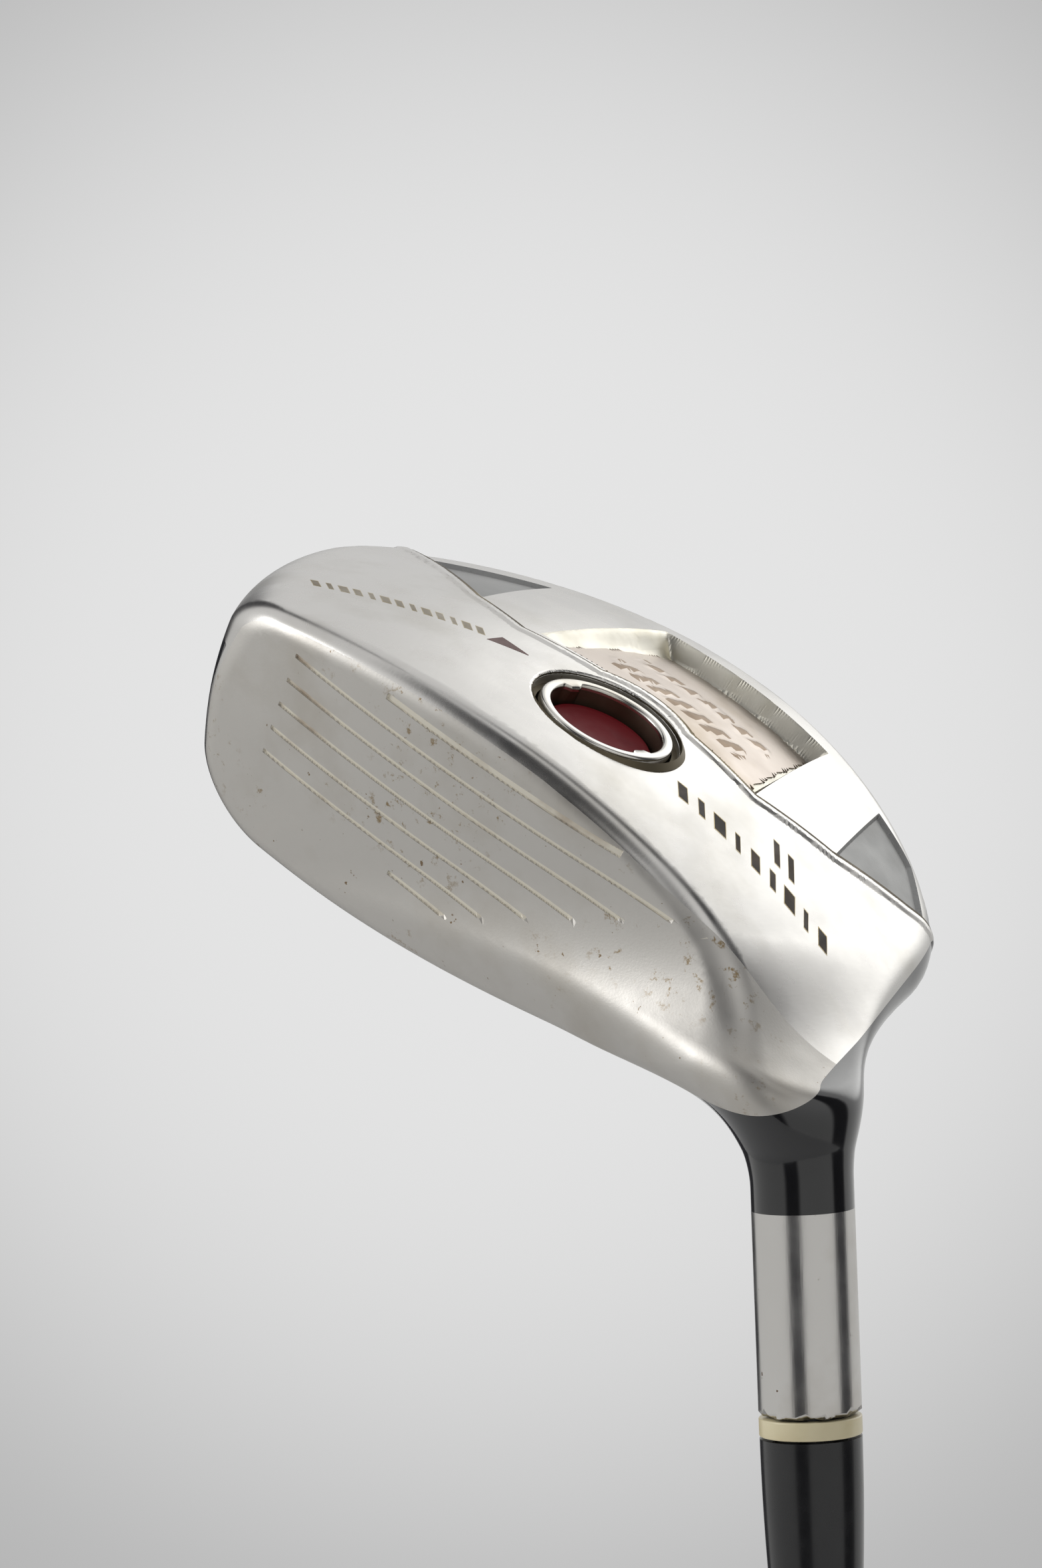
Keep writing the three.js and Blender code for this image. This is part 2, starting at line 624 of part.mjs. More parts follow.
// The ferrule swells gently from the shaft to the trim ring.
function ferrule() {
  const top = fromButt(HOSEL.top + TRIM_RING.length + 2 * FIT_GAP);
  const outside = Array.from({ length: FERRULE_STEPS + 1 }, (_, i) => {
    const share = i / FERRULE_STEPS;
    const swell = Math.sin(share * Math.PI / 2);
    const radius = THREE.MathUtils.lerp(FERRULE.endRadius, FERRULE.ringRadius, swell);
    return [radius, top - FERRULE.length * (1 - share)];
  });
  const bore = SHAFT.tipRadius + FIT_GAP;
  return turned([[bore, top - FERRULE.length], ...outside, [bore, top]]);
}

// The grip's outer radius: a bell at the cap, then a long taper to the mouth.
function gripRadius(height) {
  const bell = GRIP.bellHeight * Math.exp(-height / GRIP.bellLength);
  return THREE.MathUtils.lerp(GRIP.buttRadius, GRIP.mouthRadius, height / GRIP.length) + bell;
}

function tapeOuterRadius(height) {
  return shaftRadius(height) + FIT_GAP + TAPE.thickness;
}

function gripTape() {
  const heights = [TAPE.start, fromButt(SHAFT.buttParallel), TAPE.end];
  const outside = heights.map((height) => [tapeOuterRadius(height), height]);
  const inside = heights.map((height) => [tapeOuterRadius(height) - TAPE.thickness, height]).reverse();
  return turned([...outside, ...inside]);
}

function grip() {
  const low = GRIP.capLength + FIT_GAP;
  const heights = [low, ...BELL_HEIGHTS, fromButt(SHAFT.buttParallel), GRIP.length - GRIP.bevel];
  const outside = heights.map((height) => [gripRadius(height), height]);
  outside.push([gripRadius(GRIP.length) - GRIP.bevel / 2, GRIP.length]);
  const bore = (height) => tapeOuterRadius(height) + FIT_GAP;
  const spigotTop = low + CAP.spigotLength + FIT_GAP;
  const inside = [
    [bore(GRIP.length), GRIP.length],
    [bore(fromButt(SHAFT.buttParallel)), fromButt(SHAFT.buttParallel)],
    [bore(spigotTop), spigotTop],
    [bore(spigotTop) + CAP.spigotGap, spigotTop],
    [bore(spigotTop) + CAP.spigotGap, low],
  ];
  return turned([...outside, ...inside]);
}

// The end cap plugs the grip and keeps the small hole that lets air out while the grip goes on.
function gripCap() {
  const { radius, ventRadius, bevel } = CAP;
  return turned([
    [ventRadius, 0], [radius - bevel, 0], [radius, bevel], [gripRadius(GRIP.capLength), GRIP.capLength],
    [ventRadius, GRIP.capLength],
  ]);
}

// ---- The assembly ----

// Turns the address frame into the row frame: the head ends up at the top of the shaft.
const headFrame = new THREE.Group();
headFrame.position.set(0, 0, CLUB_LENGTH);
headFrame.quaternion.setFromRotationMatrix(new THREE.Matrix4().makeBasis(
  new THREE.Vector3(-Math.sin(LIE), 0, Math.cos(LIE)),
  new THREE.Vector3(0, 1, 0),
  new THREE.Vector3(-Math.cos(LIE), 0, -Math.sin(LIE)),
));

const club = new THREE.Group();
club.add(headFrame);

function addPiece(parent, name, geometry, finish) {
  const mesh = new THREE.Mesh(geometry, finish);
  mesh.name = name;
  parent.add(mesh);
}

addPiece(headFrame, 'head_body', geometryOf(headBody()), STEEL);
addPiece(headFrame, 'face_plate', geometryOf(facePlate()), FACE_STEEL);
addPiece(headFrame, 'crown_plate', geometryOf(crownPlate()), CROWN_BLACK);
addPiece(headFrame, 'sole_badge', geometryOf(soleBadge()), BADGE_STEEL);
addPiece(headFrame, 'port_ring', geometryOf(portRing()), BRIGHT_STEEL);
addPiece(headFrame, 'weight_cap', geometryOf(weightCap()), RED_ANODISED);
addPiece(headFrame, 'weight_slug', geometryOf(weightSlug()), TUNGSTEN);
addPiece(headFrame, 'weight_seal', geometryOf(weightSeal()), SEAL_RUBBER);
addPiece(club, 'hosel_plug', hoselPlug(), PLUG_PLASTIC);
addPiece(club, 'shaft', shaft(), SHAFT_GRAPHITE);
addPiece(club, 'trim_ring', trimRing(), CREAM_PLASTIC);
addPiece(club, 'ferrule', ferrule(), FERRULE_BLACK);
addPiece(club, 'grip_tape', gripTape(), TAPE_PAPER);
addPiece(club, 'grip', grip(), GRIP_RUBBER);
addPiece(club, 'grip_cap', gripCap(), GRIP_RUBBER);

export default club;
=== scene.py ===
import math

import bmesh
import bpy
import numpy as np
from mathutils import Matrix, Vector


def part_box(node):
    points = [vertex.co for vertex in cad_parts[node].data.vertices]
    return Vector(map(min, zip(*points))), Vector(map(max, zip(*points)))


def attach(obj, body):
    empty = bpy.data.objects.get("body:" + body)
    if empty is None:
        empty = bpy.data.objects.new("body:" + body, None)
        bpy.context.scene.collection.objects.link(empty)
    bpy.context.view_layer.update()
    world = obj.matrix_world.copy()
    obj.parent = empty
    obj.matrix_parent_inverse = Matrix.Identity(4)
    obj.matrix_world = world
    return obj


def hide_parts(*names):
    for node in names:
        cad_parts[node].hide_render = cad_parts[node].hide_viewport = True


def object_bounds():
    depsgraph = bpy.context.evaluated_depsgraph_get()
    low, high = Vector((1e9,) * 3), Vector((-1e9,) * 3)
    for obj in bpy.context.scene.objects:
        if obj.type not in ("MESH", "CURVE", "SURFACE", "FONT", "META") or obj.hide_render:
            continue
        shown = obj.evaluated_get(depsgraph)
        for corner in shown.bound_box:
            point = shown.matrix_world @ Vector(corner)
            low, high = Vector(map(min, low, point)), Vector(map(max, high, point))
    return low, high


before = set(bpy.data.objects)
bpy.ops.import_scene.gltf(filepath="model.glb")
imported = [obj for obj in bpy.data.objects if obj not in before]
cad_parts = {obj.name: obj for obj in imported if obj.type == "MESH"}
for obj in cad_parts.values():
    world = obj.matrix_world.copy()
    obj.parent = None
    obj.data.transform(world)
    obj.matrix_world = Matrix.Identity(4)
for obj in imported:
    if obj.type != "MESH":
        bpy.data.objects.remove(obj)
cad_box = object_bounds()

MM = 0.001

# ---- Sizes, in millimetres, in the head's address frame ----
# The origin is where the shaft axis meets the ground, x runs from heel to toe, y from face to rear, z up.

LIE = math.radians(57.1)
LOFT = math.radians(18.2)
COS_LIE, SIN_LIE = math.cos(LIE), math.sin(LIE)
COS_LOFT, SIN_LOFT = math.cos(LOFT), math.sin(LOFT)
FIT_GAP = 0.3

FACE_PROGRESSION, FACE_CENTRE, FACE_MIDDLE = 8.07, 48, 20
FACE_BULGE, FACE_ROLL = 256, 300
SOLE_LOW, SOLE_X, SOLE_Y = -4.4, 43.7, 39.5
SOLE_TOE_RADIUS, SOLE_HEEL_RADIUS, SOLE_DEPTH_RADIUS = 126, 88, 215
CROWN_TOP, CROWN_X, CROWN_Y = 38, 69, 5.5
CROWN_WIDTH_RADIUS, CROWN_DEPTH_RADIUS = 200, 95
SKIRT_X, SKIRT_Y, SKIRT_Z = 53, 38, 7.5
SKIRT_TOE, SKIRT_HEEL, SKIRT_REAR, SKIRT_FRONT = 46, 61, 33.4, 76
SKIRT_TOE_POWER, SKIRT_HEEL_POWER, SKIRT_SIZE, SKIRT_RADIUS = 1.6, 2.2, 42, 62
SOLE_FILLET, CROWN_FILLET, NECK_FILLET, NECK_FRONT_FILLET = 5, 7.5, 21, 30
LEADING_EDGE, TOP_LINE = 3.5, 1.6

HOSEL_RADIUS, HOSEL_TOP, HOSEL_START, HOSEL_END_ROUND = 6.64, 63.9, 23.6, 6
FLARE_END, FLARE, FLARE_LEAN = 30.7, 0.058, 0.0098
CLUB_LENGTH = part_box("trim_ring")[1][2] / MM + FIT_GAP + HOSEL_TOP

HEAD_LOW = (-52.0, -20.0, -12.0)
HEAD_HIGH = (101.0, 80.0, 70.0)
HEAD_GRID = 1.7
SOLE_LIMITS = (-12.0, 10.0)
PORT_X, PORT_Y, PORT_TILT = 40.7, 14.8, math.radians(5.9)
MOUTH_RADIUS, MOUTH_ROLL_RADIUS = 10.7, 11.25
PAINT_TOP = 37.6

WALL_THICKNESS, FACE_THICKNESS, CROWN_THICKNESS, BADGE_THICKNESS = 1.5, 2.1, 0.8, 0.22
STEP_WALL, STEP_DEPTH, SEAM_AHEAD, RIB_HEIGHT = 0.4, 0.65, 0.6, 0.24
POCKET_WALL, POCKET_DEPTH = 0.45, 0.6
BADGE_WALL_WIDTH, BADGE_RAMP, BADGE_FRONT, BADGE_FLOOR, BADGE_SLOPE = 0.5, 3.4, 28, 0.6, 0.075
GROOVE_DEPTH, GROOVE_WALL = 0.3, 0.14


def round_max(a, b, radius):
    u = np.maximum(radius + a, 0)
    v = np.maximum(radius + b, 0)
    return np.minimum(-radius, np.maximum(a, b)) + np.hypot(u, v)


def round_min(a, b, radius):
    return -round_max(-a, -b, radius)


def smooth(value, low, high):
    share = np.clip((value - low) / (high - low), 0, 1)
    return share * share * (3 - 2 * share)


# ---- The head's surfaces, as in the CAD; each is negative inside ----

def face_height(p):
    return p[..., 2] * COS_LOFT + (p[..., 1] + FACE_PROGRESSION) * SIN_LOFT


def face_field(p):
    x, y, z = p[..., 0], p[..., 1], p[..., 2]
    bulge = (x - FACE_CENTRE) ** 2 / (2 * FACE_BULGE)
    roll = (face_height(p) - FACE_MIDDLE) ** 2 / (2 * FACE_ROLL)
    return z * SIN_LOFT - (y + FACE_PROGRESSION) * COS_LOFT + (bulge + roll)


def sole_field(p):
    x, y, z = p[..., 0], p[..., 1], p[..., 2]
    side = x - SOLE_X
    across = side ** 2 / np.where(side > 0, 2 * SOLE_TOE_RADIUS, 2 * SOLE_HEEL_RADIUS)
    return SOLE_LOW + across + (y - SOLE_Y) ** 2 / (2 * SOLE_DEPTH_RADIUS) - z


def crown_field(p):
    x, y, z = p[..., 0], p[..., 1], p[..., 2]
    back = y - CROWN_Y
    drop = (x - CROWN_X) ** 2 / (2 * CROWN_WIDTH_RADIUS) + back ** 2 / (2 * CROWN_DEPTH_RADIUS)
    return (z - CROWN_TOP + drop) / np.hypot(1, back / CROWN_DEPTH_RADIUS)


def skirt_field(p):
    x, y, z = p[..., 0], p[..., 1], p[..., 2]
    toe_side = x > SKIRT_X
    across = np.abs(x - SKIRT_X) / np.where(toe_side, SKIRT_TOE, SKIRT_HEEL)
    along = np.abs(y - SKIRT_Y) / np.where(y > SKIRT_Y, SKIRT_REAR, SKIRT_FRONT)
    power = np.where(toe_side, SKIRT_TOE_POWER, SKIRT_HEEL_POWER)
    reach = (across ** power + along ** power) ** (1 / power)
    return (reach - 1) * SKIRT_SIZE + (z - SKIRT_Z) ** 2 / (2 * SKIRT_RADIUS)


def shell_field(p):
    lower = round_max(sole_field(p), skirt_field(p), SOLE_FILLET)
    return round_max(lower, crown_field(p), CROWN_FILLET)


def along_shaft(p):
    return p[..., 2] * SIN_LIE - p[..., 0] * COS_LIE


def off_shaft(p):
    return np.hypot(p[..., 0] * SIN_LIE + p[..., 2] * COS_LIE, p[..., 1])


def hosel_field(p):
    along = along_shaft(p)
    flare = np.maximum(FLARE_END - along, 0) ** 2
    across = p[..., 0] * SIN_LIE + p[..., 2] * COS_LIE
    off = np.hypot(across, p[..., 1] - FLARE_LEAN * flare) - HOSEL_RADIUS - FLARE * flare
    return round_max(off, HOSEL_START - along, HOSEL_END_ROUND)


def head_field(p):
    edge = LEADING_EDGE - (LEADING_EDGE - TOP_LINE) * smooth(p[..., 2], 8, 24)
    edge = edge * (1 - 0.97 * smooth(along_shaft(p), 26, 36))
    hosel = hosel_field(p)
    necked = round_min(shell_field(p), hosel, NECK_FILLET)
    fronted = round_min(face_field(p), hosel, NECK_FRONT_FILLET)
    return np.maximum(round_max(necked, fronted, edge), along_shaft(p) - HOSEL_TOP)


def slope(field, points, e=1e-3):
    result = np.empty_like(points)
    for axis in range(3):
        step = np.zeros(3)
        step[axis] = e
        result[:, axis] = (field(points + step) - field(points - step)) / (2 * e)
    return result


def settle(field, points, rounds=5):
    for _ in range(rounds):
        g = slope(field, points)
        size = np.maximum((g * g).sum(1), 0.05)
        points = points - g * (field(points) / size)[:, None]
    return points


# ---- Meshes of fields ----

def surface_mesh(field, low, high, step):
    """One vertex for each grid cell that the surface crosses, one quad for each grid edge it crosses."""
    axes = [np.arange(a, b + step, step) for a, b in zip(low, high)]
    grid = np.stack(np.meshgrid(*axes, indexing="ij"), -1)
    value = field(grid)
    shape = value.shape
    total = np.zeros((value.size, 3))
    hits = np.zeros(value.size)
    quads = []
    eye = np.eye(3, dtype=int)
    for axis in range(3):
        first = [slice(None)] * 3
        second = [slice(None)] * 3
        first[axis] = slice(0, -1)
        second[axis] = slice(1, None)
        here, there = value[tuple(first)], value[tuple(second)]
        where = np.argwhere((here < 0) != (there < 0))
        a, b = here[tuple(where.T)], there[tuple(where.T)]
        point = grid[tuple(where.T)].copy()
        point[:, axis] += step * a / (a - b)
        u, v = eye[(axis + 1) % 3], eye[(axis + 2) % 3]
        corners = [where - u - v, where - v, where, where - u]
        cells = np.stack([np.ravel_multi_index(tuple(c.T), shape) for c in corners], 1)
        for k in range(4):
            np.add.at(total, cells[:, k], point)
            np.add.at(hits, cells[:, k], 1)
        quads.append(np.where((a < 0)[:, None], cells, cells[:, ::-1]))
    quads = np.concatenate(quads)
    used = hits > 0
    number = np.cumsum(used) - 1
    points = settle(field, total[used] / hits[used][:, None])
    quads = number[quads]
    p = points[quads]
    flip = np.linalg.norm(p[:, 0] - p[:, 2], axis=1) > np.linalg.norm(p[:, 1] - p[:, 3], axis=1)
    quads[flip] = np.roll(quads[flip], 1, axis=1)
    triangles = np.concatenate([quads[:, [0, 1, 2]], quads[:, [0, 2, 3]]])
    return points, triangles


def edges_of(triangles):
    pairs = np.concatenate([triangles[:, [0, 1]], triangles[:, [1, 2]], triangles[:, [2, 0]]])
    edges, index = np.unique(np.sort(pairs, axis=1), axis=0, return_inverse=True)
    return edges, index.reshape(3, -1).T


def split(points, triangles, edges, index, marked, new_points):
    """Puts a new vertex on every marked edge and divides the triangles to suit."""
    new = np.full(len(edges), -1)
    new[marked] = len(points) + np.arange(marked.sum())
    points = np.concatenate([points, new_points])
    mid = new[index]
    count = (mid >= 0).sum(1)
    parts = [triangles[count == 0]]
    for wanted in (1, 2):
        rows = count == wanted
        t, m = triangles[rows], mid[rows]
        first = np.argmax(m >= 0, axis=1) if wanted == 1 else (np.argmax(m < 0, axis=1) + 1) % 3
        turn = (first[:, None] + np.arange(3)) % 3
        a, b, c = np.take_along_axis(t, turn, 1).T
        p, q = np.take_along_axis(m, turn, 1).T[:2]
        if wanted == 1:
            parts += [np.stack([a, p, c], 1), np.stack([p, b, c], 1)]
        else:
            parts += [np.stack([p, b, q], 1), np.stack([a, p, q], 1), np.stack([a, q, c], 1)]
    rows = count == 3
    (a, b, c), (p, q, r) = triangles[rows].T, mid[rows].T
    parts += [np.stack(s, 1) for s in ((a, p, r), (p, b, q), (r, q, c), (p, q, r))]
    return points, np.concatenate(parts)


def refine(points, triangles, longest, near=None):
    """Halves the edges longer than a length, everywhere or where near(points) says."""
    edges, index = edges_of(triangles)
    a, b = points[edges[:, 0]], points[edges[:, 1]]
    marked = np.linalg.norm(a - b, axis=1) > longest
    if near is not None:
        wanted = near(points)
        marked &= wanted[edges[:, 0]] | wanted[edges[:, 1]]
    middle = settle(head_field, (a[marked] + b[marked]) / 2, 3)
    return split(points, triangles, edges, index, marked, middle)


def cut(points, triangles, measure, allowed):
    """Adds edges along the line where measure(points) is zero, among the vertices that allowed picks."""
    value = measure(points)
    value[np.abs(value) < 1e-3] = 0
    inside = allowed(points)
    edges, index = edges_of(triangles)
    a, b = edges.T
    marked = (value[a] * value[b] < 0) & inside[a] & inside[b]
    p, q = points[a[marked]], points[b[marked]]
    low, high = np.zeros(len(p)), np.ones(len(p))
    start = value[a[marked]] < 0
    for _ in range(22):
        share = (low + high) / 2
        same = (measure(p + (q - p) * share[:, None]) < 0) == start
        low, high = np.where(same, share, low), np.where(same, high, share)
    found = settle(head_field, p + (q - p) * ((low + high) / 2)[:, None], 2)
    return split(points, triangles, edges, index, marked, found)


# ---- The head's details, as measures over the surface ----

def port_frame():
    low, high = SOLE_LIMITS
    for _ in range(50):
        middle = (low + high) / 2
        if head_field(np.array([PORT_X, PORT_Y, middle])) > 0:
            low = middle
        else:
            high = middle
    inward = np.array([0, math.sin(PORT_TILT), math.cos(PORT_TILT)])
    return np.array([PORT_X, PORT_Y, low]), inward


PORT_CENTRE, PORT_INWARD = port_frame()


def port_radius(p):
    offset = p - PORT_CENTRE
    depth = offset @ PORT_INWARD
    return np.sqrt(np.maximum((offset * offset).sum(-1) - depth ** 2, 0))


def behind_line(p, start, end):
    """Distance in plan behind the line from one point to another, towards the rear or the left of it."""
    dx, dy = end[0] - start[0], end[1] - start[1]
    length = math.hypot(dx, dy)
    return ((p[..., 1] - start[1]) * dx - (p[..., 0] - start[0]) * dy) / length


STEP_POINTS = [(-0.9, 50.4), (11.6, 35.2), (22.0, 27.6), (61.3, 25.6), (71.0, 30.3), (88.0, 44.9)]


def behind_step(p):
    sides = [behind_line(p, a, b) for a, b in zip(STEP_POINTS, STEP_POINTS[1:])]
    return np.minimum(np.minimum.reduce(sides), port_radius(p) - 14.2)


def badge_sides(p):
    toe = -behind_line(p, (57.8, 61.5), (60.3, 27.4))
    heel = -behind_line(p, (22.3, 27.9), (27.3, 59.5))
    rear = -behind_line(p, (27.3, 60.5), (57.8, 62.5))
    front = np.minimum(p[..., 1] - 28.3, port_radius(p) - 14.9)
    return toe, heel, rear, front


def in_badge(p):
    return np.minimum.reduce(badge_sides(p))


def inside_corners(p, corners):
    """Distance inside a convex outline in plan, its corners in anticlockwise order."""
    ring = corners + corners[:1]
    return np.minimum.reduce([behind_line(p, a, b) for a, b in zip(ring, ring[1:])])


TOE_POCKET = [(71.9, 32.6), (86.8, 45.3), (72.8, 55.5)]
HEEL_POCKET = [(0.4, 50.2), (11.4, 37.0), (16.6, 59.5), (8.0, 57.5)]


def in_toe_pocket(p):
    return inside_corners(p, TOE_POCKET)


def in_heel_pocket(p):
    return inside_corners(p, HEEL_POCKET)


def paint_measure(p):
    """Positive where the crown and neck are painted black."""
    y, z = p[..., 1], p[..., 2]
    neck_edge = 20.9 - 0.26 * y + 0.022 * np.minimum(y, 0) ** 2
    skirt_edge = np.maximum(15 - 0.135 * y, 7.6)
    rim = np.minimum(np.minimum(z - skirt_edge, -0.9 - face_field(p)), p[..., 0] + 2)
    return np.maximum(along_shaft(p) - neck_edge, rim)


def face_plate_measure(p):
    return round_max(shell_field(p) + 4.2, 2 - p[..., 0], 8)


def crown_plate_measure(p):
    flat = p.copy()
    flat[..., 2] = 34
    rim = round_max(skirt_field(flat) + 11, face_field(flat) + 5, 6)
    return round_max(rim, 17 - np.hypot(p[..., 0] + 16, p[..., 1]), 6)


FACE_EDGE = 0.5


def on_face(p):
    return np.abs(face_field(p)) < 1


def on_sole(p):
    return (p[..., 2] < 14) & (face_field(p) < -1)


def everywhere(p):
    return np.ones(p.shape[:-1], bool)


# Each line's height up the face, its two ends, and half its width.
SCORE_LINES = [(10 + 3.98 * i, 7.8, 76.4, 0.34) for i in range(5)]
SCORE_LINES += [(5.9, 22.6, 61.3, 0.52), (29.3, 30.6, 52.4, 0.36)]


def groove_depth(p):
    depth = np.zeros(p.shape[:-1])
    height, x = face_height(p), p[..., 0]
    for middle, start, end, half in SCORE_LINES:
        inside = np.minimum(half - np.abs(height - middle), np.minimum(x - start, end - x))
        depth = np.maximum(depth, GROOVE_DEPTH * np.clip(inside / GROOVE_WALL, 0, 1))
    return np.where(np.abs(face_field(p)) < 0.8, depth, 0)


def sole_depth(p, normal):
    """How far the sole's details lie below its smooth surface."""
    facing = smooth(-normal[:, 2], 0.12, 0.5)
    behind = behind_step(p)
    depth = STEP_DEPTH * smooth(behind, 0, STEP_WALL)
    depth -= RIB_HEIGHT * (smooth(behind, -2.3, -1.7) - smooth(behind, -0.95, -0.5))
    toe, heel, rear, front = badge_sides(p)
    floor = BADGE_FLOOR + BADGE_SLOPE * (p[:, 1] - BADGE_FRONT)
    sides = smooth(toe, 0, BADGE_RAMP) * smooth(heel, 0, BADGE_WALL_WIDTH)
    sides = sides * smooth(rear, 0, 0.7) * smooth(front, 0, BADGE_WALL_WIDTH)
    depth += floor * sides
    depth += POCKET_DEPTH * smooth(in_toe_pocket(p), 0, POCKET_WALL)
    depth += POCKET_DEPTH * smooth(in_heel_pocket(p), 0, POCKET_WALL)
    lip = np.clip((MOUTH_ROLL_RADIUS - port_radius(p)) / (MOUTH_ROLL_RADIUS - MOUTH_RADIUS), 0, 1)
    return np.where(on_sole(p), depth * facing + 0.45 * (1 - np.sqrt(1 - lip ** 2)), 0)


def build_head():
    points, triangles = surface_mesh(head_field, HEAD_LOW, HEAD_HIGH, HEAD_GRID)
    points, triangles = refine(points, triangles, 0.9)

    def near_details(p):
        lines = [behind_step(p), in_badge(p), in_toe_pocket(p), in_heel_pocket(p)]
        lines.append(port_radius(p) - MOUTH_RADIUS)
        return on_sole(p) & (np.minimum.reduce([np.abs(v) for v in lines]) < 0.8)

    def near_rib(p):
        return on_sole(p) & (np.abs(behind_step(p) + 1.3) < 1.4)

    def near_paint(p):
        return np.abs(paint_measure(p)) < 0.8

    for _ in range(2):
        points, triangles = refine(points, triangles, 0.45, near_details)
    points, triangles = refine(points, triangles, 0.5, near_rib)
    points, triangles = refine(points, triangles, 0.5, near_paint)
    cuts = [
        (lambda p: port_radius(p) - MOUTH_RADIUS, on_sole),
        (lambda p: port_radius(p) - MOUTH_ROLL_RADIUS, on_sole),
        (behind_step, on_sole),
        (lambda p: behind_step(p) - STEP_WALL, on_sole),
        (lambda p: behind_step(p) + SEAM_AHEAD, on_sole),
        (in_badge, on_sole),
        (lambda p: in_badge(p) - BADGE_WALL_WIDTH, on_sole),
        (in_toe_pocket, on_sole),
        (lambda p: in_toe_pocket(p) - POCKET_WALL, on_sole),
        (in_heel_pocket, on_sole),
        (lambda p: in_heel_pocket(p) - POCKET_WALL, on_sole),
        (paint_measure, everywhere),
        (lambda p: along_shaft(p) - PAINT_TOP, everywhere),
        (lambda p: face_field(p) + FACE_EDGE, everywhere),
        (face_plate_measure, on_face),
        (crown_plate_measure, lambda p: p[..., 2] > 16),
    ]
    for middle, start, end, half in SCORE_LINES:
        def near_line(p, middle=middle, start=start, end=end):
            between = (p[..., 0] > start - 2) & (p[..., 0] < end + 2)
            return on_face(p) & (np.abs(face_height(p) - middle) < 2.2) & between

        for offset in (-half, GROOVE_WALL - half, half - GROOVE_WALL, half):
            cuts.append((lambda p, level=middle + offset: face_height(p) - level, near_line))
        for level in (start, start + GROOVE_WALL, end - GROOVE_WALL, end):
            cuts.append((lambda p, level=level: p[..., 0] - level, near_line))
    for measure, allowed in cuts:
        points, triangles = cut(points, triangles, measure, allowed)
    return points, triangles


# ---- Blender objects ----

def to_world(points):
    x, y, z = np.asarray(points, float).T
    return np.stack([-SIN_LIE * x - COS_LIE * z, y, CLUB_LENGTH + COS_LIE * x - SIN_LIE * z], 1) * MM


def turn_to_world(vectors):
    x, y, z = np.asarray(vectors, float).T
    return np.stack([-SIN_LIE * x - COS_LIE * z, y, COS_LIE * x - SIN_LIE * z], 1)


CAD_LOW, CAD_HIGH = (np.array(corner) for corner in cad_box)


def new_object(name, points, faces, materials, slots=None, normals=None, body="club"):
    """Points in metres in the row frame. normals, if given, has one row for each corner of each triangle."""
    mesh = bpy.data.meshes.new(name)
    mesh.from_pydata(np.clip(points, CAD_LOW, CAD_HIGH).tolist(), [], [list(map(int, f)) for f in faces])
    for material in materials:
        mesh.materials.append(material)
    if slots is not None:
        mesh.polygons.foreach_set("material_index", np.asarray(slots, np.int32))
    mesh.polygons.foreach_set("use_smooth", np.ones(len(faces), bool))
    mesh.update()
    if normals is not None:
        mesh.normals_split_custom_set(normals.tolist())
    obj = bpy.data.objects.new(name, mesh)
    bpy.context.scene.collection.objects.link(obj)
    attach(obj, body)
    return obj


def sharp_by_angle(obj, degrees=32):
    obj.data.set_sharp_from_angle(angle=math.radians(degrees))


def slab(name, points, normals, triangles, depth, slots, thickness, materials, body="club"):
    """A closed piece: the sunk outer surface, an inner surface at a thickness, and a rim between them."""
    used, local = np.unique(triangles, return_inverse=True)
    local = local.reshape(-1, 3)
    p, n, d = points[used], normals[used], depth[used]
    outer = p - n * d[:, None]
    inner = p - n * (d + thickness)[:, None]
    count = len(used)
    pairs = np.concatenate([local[:, [0, 1]], local[:, [1, 2]], local[:, [2, 0]]])
    keys = np.sort(pairs, axis=1)
    _, index, uses = np.unique(keys, axis=0, return_index=True, return_counts=True)
    rim = pairs[index[uses == 1]]
    a, b = rim.T
    rim_faces = np.concatenate([np.stack([a, a + count, b], 1), np.stack([b, a + count, b + count], 1)])
    faces = np.concatenate([local, local[:, ::-1] + count, rim_faces])
    all_points = to_world(np.concatenate([outer, inner]))
    turned = turn_to_world(n)
    corners = all_points[faces]
    flat = np.cross(corners[:, 1] - corners[:, 0], corners[:, 2] - corners[:, 0])
    flat /= np.maximum(np.linalg.norm(flat, axis=1, keepdims=True), 1e-12)
    corner_normals = np.repeat(flat[:, None, :], 3, axis=1)
    level = np.ptp(d[local], axis=1) < 0.02
    m = len(local)
    corner_normals[:m][level] = turned[local[level]]
    corner_normals[m:2 * m] = -turned[local[:, ::-1]]
    # Sloping walls share their corners' normals, weighted by area, so that wide ramps shade smoothly.
    walls = np.flatnonzero(~level)
    area = np.cross(corners[:, 1] - corners[:, 0], corners[:, 2] - corners[:, 0])[walls]
    mixed = np.zeros((count, 3))
    for k in range(3):
        np.add.at(mixed, local[walls][:, k], area)
    mixed /= np.maximum(np.linalg.norm(mixed, axis=1, keepdims=True), 1e-20)
    agree = (mixed[local[walls]] * flat[walls][:, None, :]).sum(2) > 0.9
    corner_normals[walls] = np.where(agree[..., None], mixed[local[walls]], corner_normals[walls])
    all_slots = np.concatenate([slots, np.zeros(m, int) + slots, np.zeros(len(rim_faces), int)])
    return new_object(name, all_points, faces, materials, all_slots, corner_normals.reshape(-1, 3), body)


